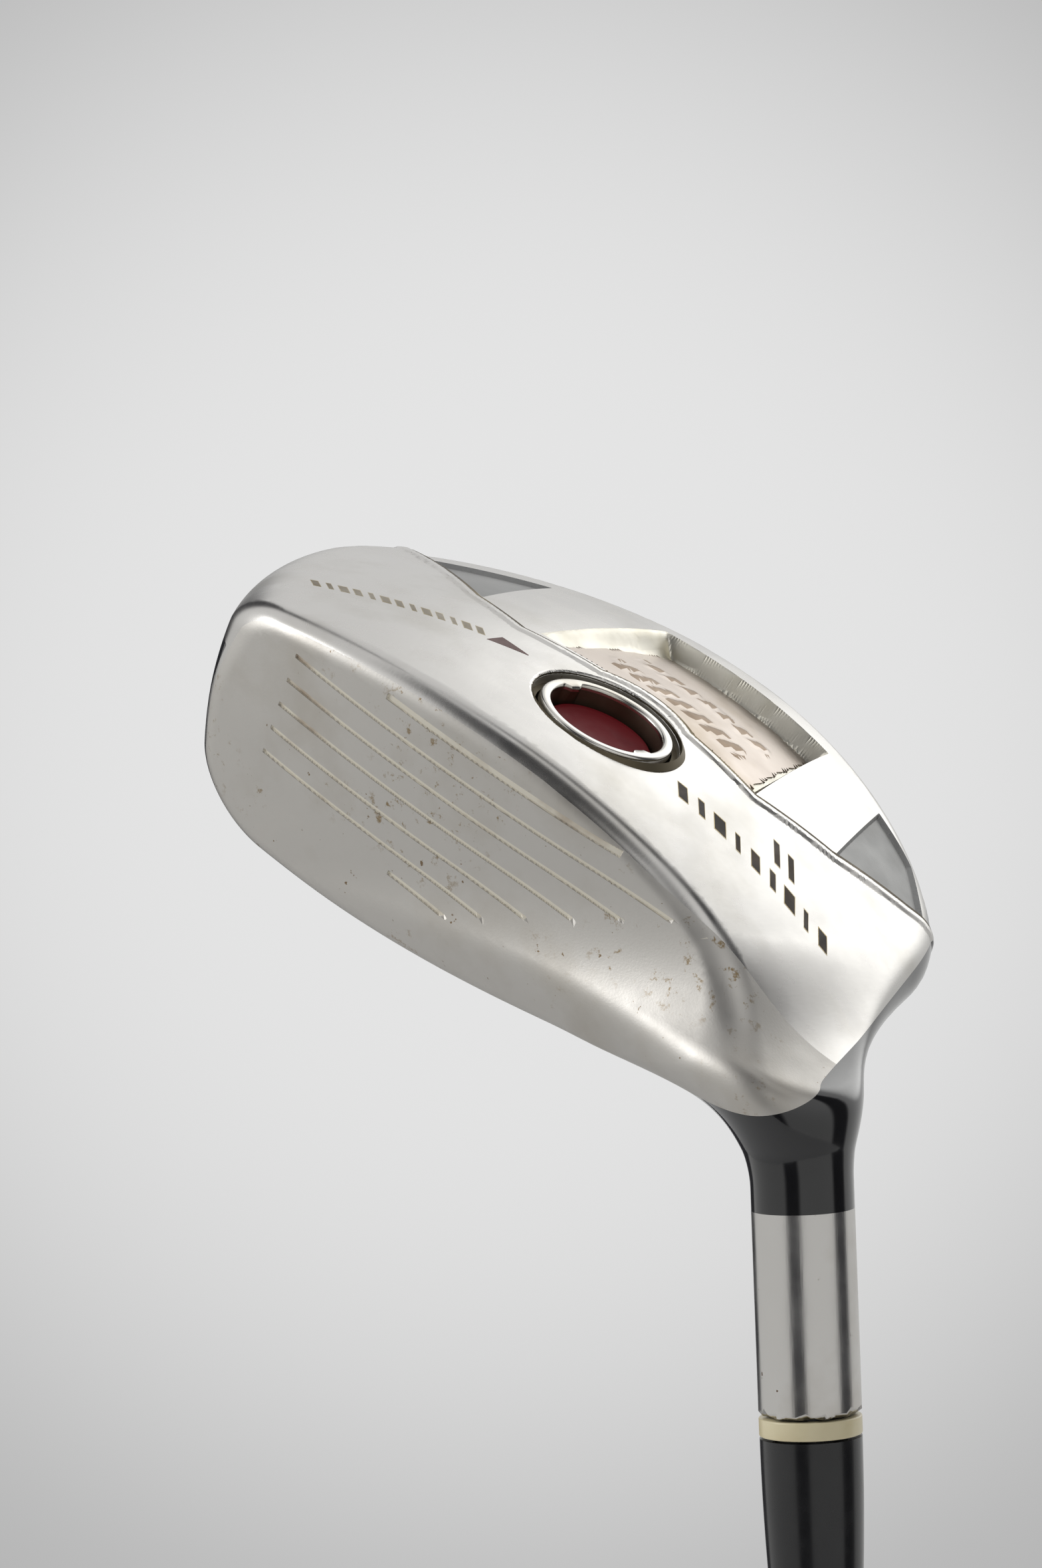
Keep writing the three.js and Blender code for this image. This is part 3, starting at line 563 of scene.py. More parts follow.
def lathe(name, outline, place, materials, segments=96, slots=None, body="club", ripple=None, sharp=32):
    """A solid of revolution. Outline points are (radius, height) and the outline closes on itself."""
    outline = np.array(outline, float)
    rows = len(outline)
    angle = np.arange(segments) * 2 * math.pi / segments
    radius, height = outline[:, 0][:, None], outline[:, 1][:, None]
    if ripple is not None:
        radius = radius + ripple(angle[None, :], height, radius)
    ring = np.stack([radius * np.cos(angle), radius * np.sin(angle), height + 0 * angle], -1)
    points = place(ring.reshape(-1, 3))
    faces = []
    face_slots = []
    for row in range(rows):
        after = (row + 1) % rows
        if outline[row, 0] < 1e-6 and outline[after, 0] < 1e-6:
            continue
        for k in range(segments):
            right = (k + 1) % segments
            here, there = row * segments, after * segments
            faces.append((here + k, here + right, there + right, there + k))
            face_slots.append(0 if slots is None else slots[row])
    obj = new_object(name, points, faces, materials, face_slots, None, body)
    bm = bmesh.new()
    bm.from_mesh(obj.data)
    bmesh.ops.remove_doubles(bm, verts=bm.verts, dist=2e-6)
    bmesh.ops.recalc_face_normals(bm, faces=bm.faces)
    bm.to_mesh(obj.data)
    bm.free()
    sharp_by_angle(obj, sharp)
    return obj


def up_shaft(points):
    """Heights are millimetres up the shaft from the butt."""
    return points * MM


def in_port(points):
    """Heights are millimetres inwards from the sole, along the port's axis."""
    side = np.array([1.0, 0, 0])
    across = np.cross(PORT_INWARD, side)
    offset = points[:, :1] * side + points[:, 1:2] * across + points[:, 2:3] * PORT_INWARD
    return to_world(PORT_CENTRE + offset)


# ---- Materials ----

def node_tree(name):
    material = bpy.data.materials.new(name)
    material.use_nodes = True
    nodes = material.node_tree.nodes
    links = material.node_tree.links
    shader = nodes["Principled BSDF"]
    place = nodes.new("ShaderNodeTexCoord").outputs["Object"]
    return material, nodes, links, shader, place


def noise(nodes, links, place, scale, detail=4, stretch=(1, 1, 1), rough=0.55):
    mapping = nodes.new("ShaderNodeMapping")
    mapping.inputs["Scale"].default_value = stretch
    links.new(place, mapping.inputs["Vector"])
    texture = nodes.new("ShaderNodeTexNoise")
    texture.inputs["Scale"].default_value = scale
    texture.inputs["Detail"].default_value = detail
    texture.inputs["Roughness"].default_value = rough
    links.new(mapping.outputs["Vector"], texture.inputs["Vector"])
    return texture.outputs["Fac"]


def ramp(nodes, links, source, stops):
    node = nodes.new("ShaderNodeValToRGB")
    elements = node.color_ramp.elements
    while len(elements) < len(stops):
        elements.new(0.5)
    for element, (position, level) in zip(elements, stops):
        element.position = position
        element.color = (level, level, level, 1)
    links.new(source, node.inputs["Fac"])
    return node.outputs["Color"]


def mix(nodes, links, share, first, second):
    node = nodes.new("ShaderNodeMix")
    node.data_type = "RGBA"
    links.new(share, node.inputs["Factor"])
    for socket, value in ((node.inputs["A"], first), (node.inputs["B"], second)):
        if isinstance(value, tuple):
            socket.default_value = (*value, 1)
        else:
            links.new(value, socket)
    return node.outputs["Result"]


def bump(nodes, links, shader, height, strength, distance):
    node = nodes.new("ShaderNodeBump")
    node.inputs["Strength"].default_value = strength
    node.inputs["Distance"].default_value = distance
    links.new(height, node.inputs["Height"])
    links.new(node.outputs["Normal"], shader.inputs["Normal"])


def uneven_roughness(nodes, links, shader, source, low, high):
    rough = nodes.new("ShaderNodeMapRange")
    rough.inputs["From Min"].default_value = 0.3
    rough.inputs["From Max"].default_value = 0.7
    rough.inputs["To Min"].default_value = low
    rough.inputs["To Max"].default_value = high
    links.new(source, rough.inputs["Value"])
    links.new(rough.outputs["Result"], shader.inputs["Roughness"])


def steel(name, base, stain, rough_low, rough_high, stretch=(1, 1, 1), grain=2600, grain_strength=0.05,
          speck=0.0, speck_color=(0.12, 0.06, 0.025), stain_low=0.5, rust=0.0):
    """Steel with a directional grain, cloudy staining, uneven roughness and, where asked, rust specks."""
    material, nodes, links, shader, place = node_tree(name)
    shader.inputs["Metallic"].default_value = 1.0
    cloud = noise(nodes, links, place, 55, 5)
    color = mix(nodes, links, ramp(nodes, links, cloud, [(stain_low, 0.0), (0.72, 1.0)]), base, stain)
    if speck > 0:
        dots = noise(nodes, links, place, 520, 3, rough=0.7)
        dotted = ramp(nodes, links, dots, [(speck, 0.0), (speck + 0.03, 1.0)])
        color = mix(nodes, links, dotted, color, speck_color)
    if rust > 0:
        groups = ramp(nodes, links, noise(nodes, links, place, 48, 3), [(0.5, 0.0), (0.62, 1.0)])
        fine = noise(nodes, links, place, 460, 4, rough=0.75)
        spots = ramp(nodes, links, fine, [(rust, 0.0), (rust + 0.08, 1.0)])
        both = mix(nodes, links, groups, (0.0, 0.0, 0.0), spots)
        color = mix(nodes, links, both, color, (0.33, 0.25, 0.15))
    links.new(color, shader.inputs["Base Color"])
    grains = noise(nodes, links, place, grain, 3, stretch)
    wear = noise(nodes, links, place, 140, 4)
    uneven_roughness(nodes, links, shader, wear, rough_low, rough_high)
    bump(nodes, links, shader, grains, grain_strength, 0.00004)
    return material


def plastic(name, base, other, rough_low, rough_high, grain=900, grain_strength=0.1, coat=0.0,
            metallic=0.0, distance=0.00005):
    """Plastic, paint or rubber with a cloudy colour, uneven roughness and a fine grain."""
    material, nodes, links, shader, place = node_tree(name)
    shader.inputs["Metallic"].default_value = metallic
    shader.inputs["Coat Weight"].default_value = coat
    shader.inputs["Coat Roughness"].default_value = 0.06
    cloud = noise(nodes, links, place, 90, 5)
    color = mix(nodes, links, ramp(nodes, links, cloud, [(0.42, 0.0), (0.68, 1.0)]), base, other)
    links.new(color, shader.inputs["Base Color"])
    uneven_roughness(nodes, links, shader, noise(nodes, links, place, 300, 3), rough_low, rough_high)
    bump(nodes, links, shader, noise(nodes, links, place, grain, 3), grain_strength, distance)
    return material


SATIN = steel("face_satin_steel", (0.62, 0.60, 0.565), (0.54, 0.51, 0.46), 0.40, 0.54, (1, 1, 1), 3000, 0.3,
              speck=0.70, speck_color=(0.26, 0.19, 0.12), rust=0.585)
POLISHED = steel("sole_polished_steel", (0.66, 0.645, 0.62), (0.56, 0.54, 0.50), 0.20, 0.32, (1, 0.25, 1),
                 2200, 0.14)
SANDBLASTED = steel("pocket_blasted_steel", (0.40, 0.40, 0.395), (0.33, 0.325, 0.31), 0.5, 0.62, grain=5200,
                    grain_strength=0.6)
BADGE_WALL = steel("badge_recess_steel", (0.80, 0.77, 0.68), (0.66, 0.61, 0.46), 0.34, 0.5, grain=2400,
                   grain_strength=0.15)
# Dark colour for the step's seam and the badge's frame line: partly dirt, partly painted shade in the crease.
SEAM_DIRT_AND_SHADE = steel("seam_dirt_and_painted_shade", (0.12, 0.10, 0.07), (0.30, 0.24, 0.13), 0.4, 0.6, grain=2400, grain_strength=0.3)
HOSEL_SATIN = steel("hosel_satin_steel", (0.70, 0.685, 0.66), (0.58, 0.55, 0.51), 0.17, 0.27, (1, 1, 0.08),
                    3200, 0.2, speck=0.71)
GROOVE = steel("groove_fill", (0.80, 0.76, 0.66), (0.25, 0.15, 0.07), 0.5, 0.7, (1, 1, 1), 1500, 0.3,
               stain_low=0.56)
GROOVE.node_tree.nodes["Principled BSDF"].inputs["Metallic"].default_value = 0.25
PAINT = plastic("black_gloss_paint", (0.006, 0.006, 0.007), (0.010, 0.010, 0.011), 0.10, 0.16, 500, 0.04,
                coat=0.8)
RING_STEEL = steel("port_ring_steel", (0.68, 0.66, 0.62), (0.50, 0.46, 0.38), 0.14, 0.26, grain=2400,
                   grain_strength=0.12)
# The port's bore is the head's steel coloured dark brown: painted shade in the hole round the ring.
BORE_STEEL_SHADE = steel("port_bore_painted_shade", (0.16, 0.135, 0.09), (0.09, 0.07, 0.05), 0.4, 0.55)
RED = plastic("red_anodised_weight", (0.21, 0.008, 0.014), (0.13, 0.005, 0.009), 0.5, 0.65, 1800, 0.3)
RED.node_tree.nodes["Principled BSDF"].inputs["Specular IOR Level"].default_value = 0.25
# The ring's inner wall, deeper in, is the same steel coloured dark brown: painted shade.
RING_WALL_SHADE = steel("ring_inner_wall_painted_shade", (0.20, 0.16, 0.12), (0.12, 0.085, 0.05), 0.4, 0.55, grain=2400)
BADGE = steel("sole_badge_steel", (0.60, 0.53, 0.47), (0.44, 0.36, 0.27), 0.3, 0.42, grain=2600,
              grain_strength=0.3)
BADGE_DARK = steel("badge_relief_stain", (0.30, 0.22, 0.15), (0.20, 0.14, 0.09), 0.35, 0.5, grain=2600,
                   grain_strength=0.3)
MARK_PALE = plastic("mark_fill_worn", (0.22, 0.18, 0.12), (0.40, 0.36, 0.29), 0.35, 0.5, 1500, 0.4,
                    metallic=0.6)
MARK_EDGE = plastic("mark_edge_gold", (0.42, 0.33, 0.16), (0.56, 0.50, 0.36), 0.25, 0.4, 1500, 0.3,
                    metallic=0.8)
MARK = plastic("mark_fill_brown", (0.022, 0.013, 0.006), (0.09, 0.05, 0.018), 0.5, 0.65, 1500, 0.4)
TRIANGLE = plastic("mark_fill_red", (0.17, 0.045, 0.035), (0.10, 0.03, 0.02), 0.35, 0.5, 1500, 0.3)
CREAM = plastic("cream_trim_plastic", (0.78, 0.70, 0.47), (0.70, 0.60, 0.37), 0.28, 0.38, 900, 0.06, coat=0.2)
FERRULE = plastic("ferrule_black_plastic", (0.006, 0.006, 0.007), (0.010, 0.010, 0.011), 0.2, 0.3, 900, 0.05,
                  coat=0.3)
SHAFT = plastic("shaft_clearcoat", (0.012, 0.012, 0.014), (0.02, 0.02, 0.022), 0.14, 0.22, 700, 0.04, coat=0.7)
RUBBER = plastic("grip_rubber", (0.018, 0.018, 0.018), (0.028, 0.027, 0.026), 0.6, 0.78, 2600, 0.5,
                 distance=0.0001)
TUNGSTEN = steel("weight_slug_metal", (0.22, 0.22, 0.22), (0.16, 0.155, 0.15), 0.38, 0.5, grain=1800)
PLUG = plastic("bore_plug_plastic", (0.45, 0.44, 0.42), (0.38, 0.37, 0.35), 0.5, 0.65)
TAPE = plastic("grip_tape_paper", (0.62, 0.58, 0.48), (0.55, 0.50, 0.40), 0.75, 0.9, 1200, 0.3)
SEAL = plastic("seal_rubber_black", (0.012, 0.012, 0.012), (0.02, 0.02, 0.02), 0.5, 0.7)


# ---- The head ----

points, triangles = build_head()
normals = slope(head_field, points)
normals /= np.linalg.norm(normals, axis=1, keepdims=True)
depth = sole_depth(points, normals) + groove_depth(points)
centre = points[triangles].mean(1)
top_cap = along_shaft(centre) > HOSEL_TOP - 0.05
hole = on_sole(centre) & (port_radius(centre) < MOUTH_RADIUS)
keep = ~(top_cap & (off_shaft(centre) < 6.6)) & ~hole
triangles, centre = triangles[keep], centre[keep]

HEAD_SLOTS = [SATIN, POLISHED, PAINT, HOSEL_SATIN, GROOVE, SANDBLASTED, BADGE_WALL, SEAM_DIRT_AND_SHADE]
FACE_SLOT, SOLE_SLOT, PAINT_SLOT, HOSEL_SLOT, GROOVE_SLOT, POCKET_SLOT, WALL_SLOT, DIRT_AND_SHADE_SLOT = range(8)


def head_slots(p):
    """The material slot at each point of the head, later rules over earlier ones."""
    result = np.where(face_field(p) > -FACE_EDGE, FACE_SLOT, SOLE_SLOT)
    result = np.where(paint_measure(p) > 0, PAINT_SLOT, result)
    result = np.where(along_shaft(p) > PAINT_TOP, HOSEL_SLOT, result)
    result = np.where(groove_depth(p) > GROOVE_DEPTH * 0.4, GROOVE_SLOT, result)
    bare_sole = on_sole(p) & (result == SOLE_SLOT)
    in_pocket = np.maximum(in_toe_pocket(p), in_heel_pocket(p)) > 0
    result = np.where(bare_sole & in_pocket, POCKET_SLOT, result)
    result = np.where(bare_sole & (in_badge(p) > 0), WALL_SLOT, result)
    # The step's wall with a narrow band ahead of it, and a line just inside the badge's heel and front edges,
    # are coloured dark: partly dirt, partly painted shade in the crease.
    behind = behind_step(p)
    step_dirt_and_shade = (behind > -SEAM_AHEAD) & (behind < STEP_WALL) & (in_badge(p) < 0)
    toe, rear = badge_sides(p)[0], badge_sides(p)[2]
    frame_dirt_and_shade = (in_badge(p) > 0) & (in_badge(p) < BADGE_WALL_WIDTH) & (toe > 1.5) & (rear > 1)
    return np.where(bare_sole & (step_dirt_and_shade | frame_dirt_and_shade), DIRT_AND_SHADE_SLOT, result)


centre_normal = normals[triangles].mean(1)
slots = head_slots(centre)
is_face = (face_plate_measure(centre) < 0) & (np.abs(face_field(centre)) < 0.6)
is_crown = (crown_plate_measure(centre) < 0) & (centre[:, 2] > 16) & (centre_normal[:, 2] > 0.3)
is_body = ~is_face & ~is_crown

head = slab("head_shell", points, normals, triangles[is_body], depth, slots[is_body], WALL_THICKNESS,
            HEAD_SLOTS)
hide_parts("head_body")
face = slab("face_insert", points, normals, triangles[is_face], depth, slots[is_face], FACE_THICKNESS,
            HEAD_SLOTS)
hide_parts("face_plate")
crown = slab("crown_insert", points, normals, triangles[is_crown], depth, slots[is_crown], CROWN_THICKNESS,
             HEAD_SLOTS)
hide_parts("crown_plate")

# ---- Badge and filled marks on the sole ----

on_floor = (in_badge(centre) > 1.3) & (badge_sides(centre)[0] > BADGE_RAMP + 0.2)
is_badge = on_sole(centre) & (centre_normal[:, 2] < 0) & on_floor


RELIEF_HEIGHT = 0.16


def badge_relief(p):
    """Low slanted ribs in two rows, raised on the badge."""
    x, y = p[:, 0], p[:, 1]
    soft, pitch = 0.4, 3.1
    wide_row = smooth(2.6 - np.abs(y - 37), 0, soft)
    narrow_row = smooth(1.7 - np.abs(y - 46), 0, soft)
    dashes = smooth(np.abs(((x - 26 + 0.35 * y) % pitch) - pitch / 2), 0.55, 0.8)
    ends = smooth(np.minimum(x - 29, 53 - x), 0, soft)
    return RELIEF_HEIGHT * np.maximum(wide_row, narrow_row) * dashes * ends


relief = badge_relief(points)
raised = np.where(badge_relief(centre[is_badge]) > RELIEF_HEIGHT / 2, 1, 0)
badge = slab("sole_badge_relief", points, normals, triangles[is_badge], depth - BADGE_THICKNESS - relief,
             raised, BADGE_THICKNESS, [BADGE, BADGE_DARK])
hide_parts("sole_badge")


# How far a mark's fill and its edge stand out of the sole, and how far the fill goes in
FILL_OUT, FILL_EDGE_OUT, FILL_EDGE_WIDTH, FILL_DEPTH = 0.022, 0.012, 0.22, 0.12


def on_sole_at(plan, out):
    """Points over a plan position, a distance outside the sole's smooth surface."""
    low, high = (np.full(len(plan), limit) for limit in SOLE_LIMITS)
    for _ in range(40):
        middle = (low + high) / 2
        outside = head_field(np.column_stack([plan, middle])) > 0
        low, high = np.where(outside, middle, low), np.where(outside, high, middle)
    found = np.column_stack([plan, low])
    normal = slope(head_field, found)
    return found + normal / np.linalg.norm(normal, axis=1, keepdims=True) * out


def filled_marks(name, outlines, out, material):
    """Closed thin chips of fill, each a four-cornered outline in plan."""
    points, faces = [], []
    steps = 4
    shares = np.linspace(0, 1, steps + 1)
    size = len(shares) ** 2
    for corners in outlines:
        a, b, c, d = (np.array(corner) for corner in corners)
        plan = np.array([(a * (1 - u) + b * u) * (1 - v) + (d * (1 - u) + c * u) * v
                         for v in shares for u in shares])
        start = len(points)
        points += on_sole_at(plan, out).tolist() + on_sole_at(plan, -FILL_DEPTH).tolist()

        def at(i, j, layer, start=start):
            return start + layer * size + j * (steps + 1) + i

        for j in range(steps):
            for i in range(steps):
                faces.append((at(i, j, 0), at(i, j + 1, 0), at(i + 1, j + 1, 0), at(i + 1, j, 0)))
                faces.append((at(i, j, 1), at(i + 1, j, 1), at(i + 1, j + 1, 1), at(i, j + 1, 1)))
        for i in range(steps):
            edges = [(i, 0, i + 1, 0), (i + 1, steps, i, steps), (0, i + 1, 0, i), (steps, i, steps, i + 1)]
            for x0, y0, x1, y1 in edges:
                faces.append((at(x0, y0, 0), at(x1, y1, 0), at(x1, y1, 1), at(x0, y0, 1)))
    obj = new_object(name, to_world(np.array(points)), faces, [material])
    sharp_by_angle(obj)
    return obj


def dash_row(start, end, count, widths, height, lean):
    """Slanted strokes along a line in plan."""
    start, end = np.array(start), np.array(end)
    along = (end - start) / np.linalg.norm(end - start)
    across = np.array([-along[1], along[0]])
    rows = []
    for i in range(count):
        middle = start + (end - start) * (i + 0.5) / count
        half = along * widths[i % len(widths)] / 2
        rise = across * height / 2 + along * lean
        rows.append([middle - half - rise, middle + half - rise, middle + half + rise, middle - half + rise])
    return rows


def widened(outlines, margin):
    result = []
    for corners in outlines:
        centre = sum(corners) / 4
        result.append([centre + (c - centre) * (1 + margin / np.linalg.norm(c - centre)) for c in corners])
    return result


heel_marks = dash_row((-0.5, 18.8), (27.2, 12.2), 9, (1.5, 0.8, 1.9, 1.0), 2.9, 0.7)
heel_marks += dash_row((9.6, 22.4), (14.6, 21.0), 2, (1.0, 1.0), 4.2, 0.9)
toe_marks = dash_row((86.0, 11.2), (62.4, 17.2), 13, (0.9, 0.6, 1.1), 2.0, 0.5)
for name, outlines, material in (("heel_mark", heel_marks, MARK), ("toe_mark", toe_marks, MARK_PALE)):
    edge = filled_marks(name + "_edges", widened(outlines, FILL_EDGE_WIDTH), FILL_EDGE_OUT, MARK_EDGE)
    fill = filled_marks(name + "_fill", outlines, FILL_OUT, material)
triangle_mark = [[np.array(c) for c in ((61.2, 15.2), (55.6, 16.9), (55.6, 17.1), (60.6, 18.3))]]
red_mark = filled_marks("triangle_mark_fill", triangle_mark, FILL_OUT, TRIANGLE)

# ---- Port ----

RING_OUTER, RING_INNER, RING_TOP, RING_BOTTOM, RING_ROLL = 9.5, 8.0, 0.35, 5.9, 0.45
BORE_RADIUS, BORE_LEDGE, BORE_FLOOR, BORE_OUTSIDE, BORE_END = RING_OUTER + FIT_GAP, 1.8, 13.6, 11.5, 15.6

bore = lathe("port_bore", [
    (MOUTH_RADIUS, 0.3), (MOUTH_RADIUS, BORE_LEDGE), (BORE_RADIUS, BORE_LEDGE), (BORE_RADIUS, BORE_FLOOR),
    (0, BORE_FLOOR), (0, BORE_END), (BORE_OUTSIDE, BORE_END), (BORE_OUTSIDE, 1.0),
], in_port, [BORE_STEEL_SHADE], 96)


def arc(cx, cy, radius, start, end, steps=5):
    angles = np.radians(np.linspace(start, end, steps))
    return [(cx + radius * math.cos(a), cy + radius * math.sin(a)) for a in angles]


ring_outline = [(RING_INNER, 1.1)]
ring_outline += arc(RING_INNER + RING_ROLL, RING_TOP + RING_ROLL, RING_ROLL, 180, 270)
ring_outline += arc(RING_OUTER - RING_ROLL, RING_TOP + RING_ROLL, RING_ROLL, 270, 360)
ring_outline += [(RING_OUTER, RING_BOTTOM), (6.8, RING_BOTTOM), (6.8, 4.9), (RING_INNER, 4.9)]


def lugs(angle, height, radius):
    """Two small lugs reach inwards at the mouth of the ring."""
    at_mouth = (radius < RING_INNER + 0.4) & (height < 2)
    return -0.75 * smooth(np.abs(np.cos(angle - 0.35)), 0.985, 0.993) * at_mouth


# The rows deeper inside the ring take the dark brown steel, which is painted shade.
ring = lathe("port_ring_turned", ring_outline, in_port, [RING_STEEL, RING_WALL_SHADE], 128,
             slots=[0] * (len(ring_outline) - 3) + [1] * 3, body="screw_ring", ripple=lugs)
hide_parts("port_ring")

cap_outline = [
    (0, 3.2), (5.9, 3.2), (6.3, 3.0), (7.2, 3.0), (7.6, 3.4), (7.6, 4.6), (6.4, 4.6),
    (6.4, RING_BOTTOM), (2, RING_BOTTOM), (2, 9.6), (0, 9.6),
]
cap = lathe("weight_cap_red", cap_outline, in_port, [RED], 96, body="weight_cartridge")
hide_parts("weight_cap")

# ---- Trim ring and ferrule ----

TIP_RADIUS, TRIM_ROUND, FERRULE_END, FERRULE_WIDE = 4.7, 0.2, 5.4, 6.59
TIP_BORE = TIP_RADIUS + FIT_GAP

ring_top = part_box("trim_ring")[1][2] / MM
ring_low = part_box("trim_ring")[0][2] / MM
trim_outline = [(TIP_BORE, ring_low)]
trim_outline += arc(HOSEL_RADIUS - TRIM_ROUND, ring_low + TRIM_ROUND, TRIM_ROUND, 270, 360)
trim_outline += arc(HOSEL_RADIUS - TRIM_ROUND, ring_top - TRIM_ROUND, TRIM_ROUND, 0, 90)
trim_outline += [(TIP_BORE, ring_top)]
trim = lathe("trim_ring_cream", trim_outline, up_shaft, [CREAM], 128)
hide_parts("trim_ring")

ferrule_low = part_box("ferrule")[0][2] / MM
ferrule_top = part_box("ferrule")[1][2] / MM
share = np.linspace(0, 1, 40)
swell = FERRULE_END + (FERRULE_WIDE - FERRULE_END) * np.sin(share * math.pi / 2)
ferrule_outline = [(TIP_BORE, ferrule_low)]
ferrule_outline += list(zip(swell, ferrule_low + (ferrule_top - ferrule_low) * share))
ferrule_outline += [(TIP_BORE, ferrule_top)]
ferrule = lathe("ferrule_turned", ferrule_outline, up_shaft, [FERRULE], 128)
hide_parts("ferrule")

# ---- Shaft and grip, with heights up from the butt ----

SHAFT_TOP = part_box("shaft")[1][2] / MM
SHAFT_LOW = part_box("shaft")[0][2] / MM
GRIP_LOW, GRIP_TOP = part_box("grip")[0][2] / MM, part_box("grip")[1][2] / MM
TIP_PARALLEL, BUTT_PARALLEL = CLUB_LENGTH - 110, CLUB_LENGTH - 900
BUTT_RADIUS, SHAFT_WALL = 7.6, 1.4
GRIP_BUTT, GRIP_MOUTH, BELL_HEIGHT, BELL_LENGTH = 13.2, 9.2, 2.1, 13


def shaft_radius(height):
    from_tip = TIP_PARALLEL - min(max(height, BUTT_PARALLEL), TIP_PARALLEL)
    return TIP_RADIUS + (BUTT_RADIUS - TIP_RADIUS) * from_tip / (TIP_PARALLEL - BUTT_PARALLEL)


def grip_radius(height):
    straight = GRIP_BUTT - (GRIP_BUTT - GRIP_MOUTH) * height / GRIP_TOP
    return straight + BELL_HEIGHT * math.exp(-height / BELL_LENGTH)


shaft_outside = [(shaft_radius(h), h) for h in np.linspace(SHAFT_LOW, SHAFT_TOP, 60)]
shaft_turns = (SHAFT_TOP, TIP_PARALLEL, BUTT_PARALLEL, SHAFT_LOW)
shaft_inside = [(shaft_radius(h) - SHAFT_WALL, h) for h in shaft_turns]
shaft = lathe("shaft_turned", shaft_outside + shaft_inside, up_shaft, [SHAFT], 96)
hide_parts("shaft")


def grip_pattern(angle, height, radius):
    """Slanted shallow grooves in bands round the grip, and fine rings between the bands."""
    outside = radius > 9
    cuts_round, cut_slant, band_pitch, ring_pitch = 12, 0.55, 66, 4.4
    slanted = np.cos(cuts_round * angle + height * cut_slant) * np.cos(cuts_round * angle - height * cut_slant)
    bands = smooth(np.abs(np.mod(height, band_pitch) - band_pitch / 2), 12, 16)
    bands = bands * smooth(height, 22, 26) * smooth(-height, -252, -246)
    rings = smooth(np.cos(height * 2 * math.pi / ring_pitch), 0.72, 0.9) * (1 - bands) * smooth(height, 14, 18)
    return -1.0 * outside * (0.28 * bands * smooth(slanted, 0.15, 0.5) + 0.22 * rings)


MOUTH_BEVEL = 1.2
CORE_RADIUS, SPIGOT_RADIUS, SPIGOT_TOP = 8.2, 8.7, GRIP_LOW + 6.3
grip_heights = np.linspace(GRIP_LOW, GRIP_TOP - MOUTH_BEVEL, 420)
grip_outline = [(grip_radius(h), h) for h in grip_heights]
grip_outline += [(grip_radius(GRIP_TOP) - MOUTH_BEVEL / 2, GRIP_TOP), (CORE_RADIUS, GRIP_TOP)]
grip_outline += [(CORE_RADIUS, BUTT_PARALLEL), (CORE_RADIUS, SPIGOT_TOP)]
grip_outline += [(SPIGOT_RADIUS, SPIGOT_TOP), (SPIGOT_RADIUS, GRIP_LOW)]
grip = lathe("grip_moulded", grip_outline, up_shaft, [RUBBER], 144, ripple=grip_pattern, sharp=60)
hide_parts("grip")

CAP_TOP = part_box("grip_cap")[1][2] / MM
CAP_RADIUS, CAP_ROUND, VENT_RADIUS = 15.4, 1.4, 1.6
end_outline = [(VENT_RADIUS, 0), (13.2, 0)] + arc(CAP_RADIUS - CAP_ROUND, CAP_ROUND, CAP_ROUND, 270, 360, 8)
end_outline += [(grip_radius(CAP_TOP), CAP_TOP), (VENT_RADIUS, CAP_TOP)]
end_cap = lathe("grip_cap_moulded", end_outline, up_shaft, [RUBBER], 128)
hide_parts("grip_cap")

# ---- Carried-over CAD nodes ----

CARRIED_OVER = {"weight_slug": TUNGSTEN, "weight_seal": SEAL, "hosel_plug": PLUG, "grip_tape": TAPE}
for node, material in CARRIED_OVER.items():
    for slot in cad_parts[node].material_slots:
        slot.material = material

# ---- Stage, lights and camera ----

FLOOR_RADIUS = 2.6


def build_floor():
    material, nodes, links, shader, place = node_tree("floor_paper")
    paper = mix(nodes, links, noise(nodes, links, place, 3, 2), (0.70, 0.70, 0.70), (0.74, 0.74, 0.74))
    links.new(paper, shader.inputs["Base Color"])
    shader.inputs["Roughness"].default_value = 0.95
    angles = np.radians(np.arange(0, 360, 5))
    points = [(FLOOR_RADIUS * math.cos(a), FLOOR_RADIUS * math.sin(a), 0.0) for a in angles]
    mesh = bpy.data.meshes.new("floor")
    mesh.from_pydata(points, [], [tuple(range(len(points)))])
    mesh.materials.append(material)
    obj = bpy.data.objects.new("floor", mesh)
    bpy.context.scene.collection.objects.link(obj)
    return obj


floor = build_floor()


def area_light(name, location, target, size, energy):
    data = bpy.data.lights.new(name, "AREA")
    data.shape = "RECTANGLE"
    data.size, data.size_y = size
    data.energy = energy
    obj = bpy.data.objects.new(name, data)
    obj.location = location
    obj.rotation_euler = (Vector(target) - Vector(location)).to_track_quat("-Z", "Y").to_euler()
    bpy.context.scene.collection.objects.link(obj)


HEAD_AT = (0.0, 0.02, 1.04)
area_light("front_left_softbox", (-1.7, -1.2, 2.1), HEAD_AT, (0.9, 0.9), 14)

# Each row is a direction, the cosines where its patch starts and is full, and how bright a light patch is.
UPRIGHTS = [((0.06, -0.998, 0), 0.94, 0.985), ((0.90, 0.43, 0), 0.93, 0.975), ((-0.80, 0.60, 0), 0.95, 0.98)]
DARK_PATCHES = [((0.28, -0.60, 0.75), 0.86, 0.96)]
BRIGHT_PATCHES = [((0.15, 0.88, 0.44), 0.90, 0.985, 2.4)]
# The paper behind the club: grey round the outside and lighter in the middle.
BEHIND_CLUB = (-0.462, 0.884, -0.062)
BACKDROP = [(BEHIND_CLUB, 0.972, 0.990, 0.60), (BEHIND_CLUB, 0.9895, 0.9992, 1.0)]
WORLD_STRENGTH = 0.78


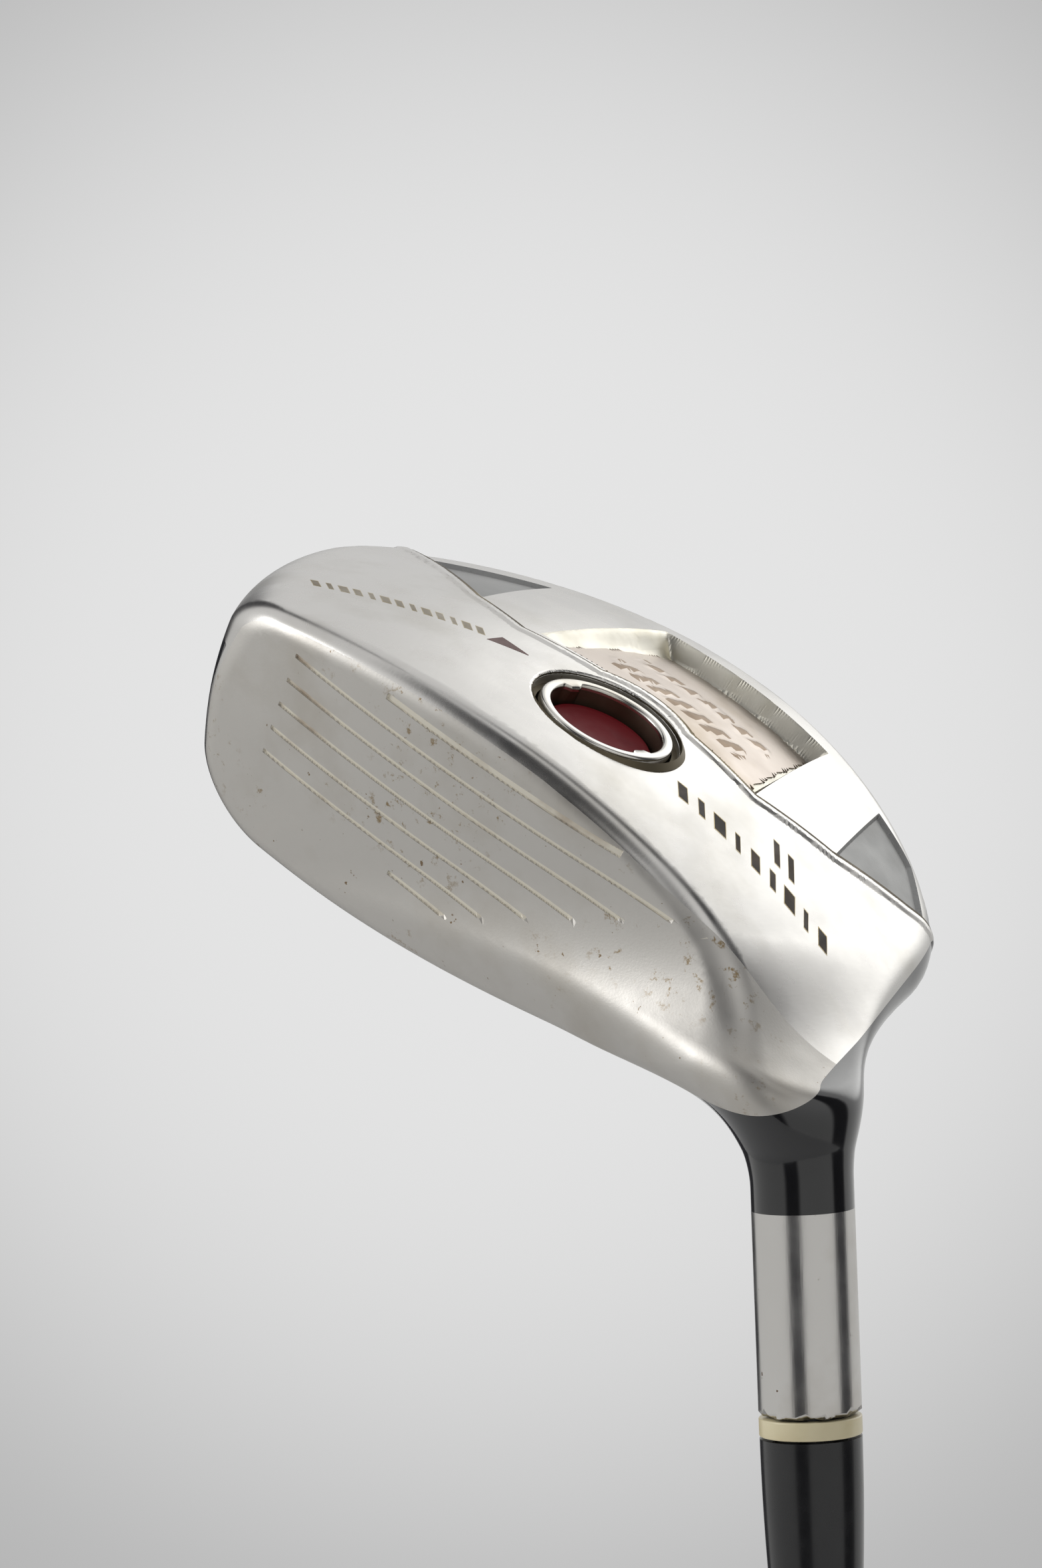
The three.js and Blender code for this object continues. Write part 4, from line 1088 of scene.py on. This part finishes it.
def build_world():
    """A pale room, brighter above, with dark and bright patches that shape the reflections."""
    world = bpy.data.worlds.new("studio")
    world.use_nodes = True
    nodes, links = world.node_tree.nodes, world.node_tree.links
    direction = nodes.new("ShaderNodeTexCoord").outputs["Generated"]

    def vector(operation, first, second=None):
        node = nodes.new("ShaderNodeVectorMath")
        node.operation = operation
        links.new(first, node.inputs[0])
        if second is not None:
            node.inputs[1].default_value = second
        return node

    def band(value, low, high):
        node = nodes.new("ShaderNodeMapRange")
        node.interpolation_type = "SMOOTHSTEP"
        node.inputs["From Min"].default_value = low
        node.inputs["From Max"].default_value = high
        links.new(value, node.inputs["Value"])
        return node.outputs["Result"]

    flat = vector("NORMALIZE", vector("MULTIPLY", direction, (1, 1, 0)).outputs["Vector"]).outputs["Vector"]
    height = nodes.new("ShaderNodeSeparateXYZ")
    links.new(direction, height.inputs[0])
    color = mix(nodes, links, band(height.outputs["Z"], -0.3, 0.6), (0.72, 0.72, 0.71), (1.0, 1.0, 1.0))
    for towards, low, high in UPRIGHTS:
        share = band(vector("DOT_PRODUCT", flat, towards).outputs["Value"], low, high)
        color = mix(nodes, links, share, color, (0.05, 0.05, 0.055))
    for towards, low, high in DARK_PATCHES:
        share = band(vector("DOT_PRODUCT", direction, towards).outputs["Value"], low, high)
        color = mix(nodes, links, share, color, (0.06, 0.06, 0.065))
    for towards, low, high, glow in BRIGHT_PATCHES:
        share = band(vector("DOT_PRODUCT", direction, towards).outputs["Value"], low, high)
        color = mix(nodes, links, share, color, (glow, glow, glow * 0.985))
    for towards, low, high, glow in BACKDROP:
        share = band(vector("DOT_PRODUCT", direction, towards).outputs["Value"], low, high)
        color = mix(nodes, links, share, color, (glow, glow, glow))
    links.new(color, nodes["Background"].inputs["Color"])
    nodes["Background"].inputs["Strength"].default_value = WORLD_STRENGTH
    return world


bpy.context.scene.world = build_world()
bpy.context.scene.view_settings.view_transform = "Standard"

camera_data = bpy.data.cameras.new("photo_camera")
camera_data.sensor_fit = "VERTICAL"
camera_data.sensor_height = 36
camera_data.lens = 167.87
camera = bpy.data.objects.new("photo_camera", camera_data)
right = Vector((0.8870, 0.4601, -0.0383))
up = Vector((0.0012, 0.0809, 0.9967))
back = Vector((0.4617, -0.8842, 0.0712))
rotation = Matrix((right, up, back)).transposed().to_4x4()
camera.matrix_world = Matrix.Translation((0.3987, -0.8368, CLUB_LENGTH * MM + 0.0842)) @ rotation
camera_data.clip_start = 0.01
bpy.context.scene.collection.objects.link(camera)
bpy.context.scene.camera = camera
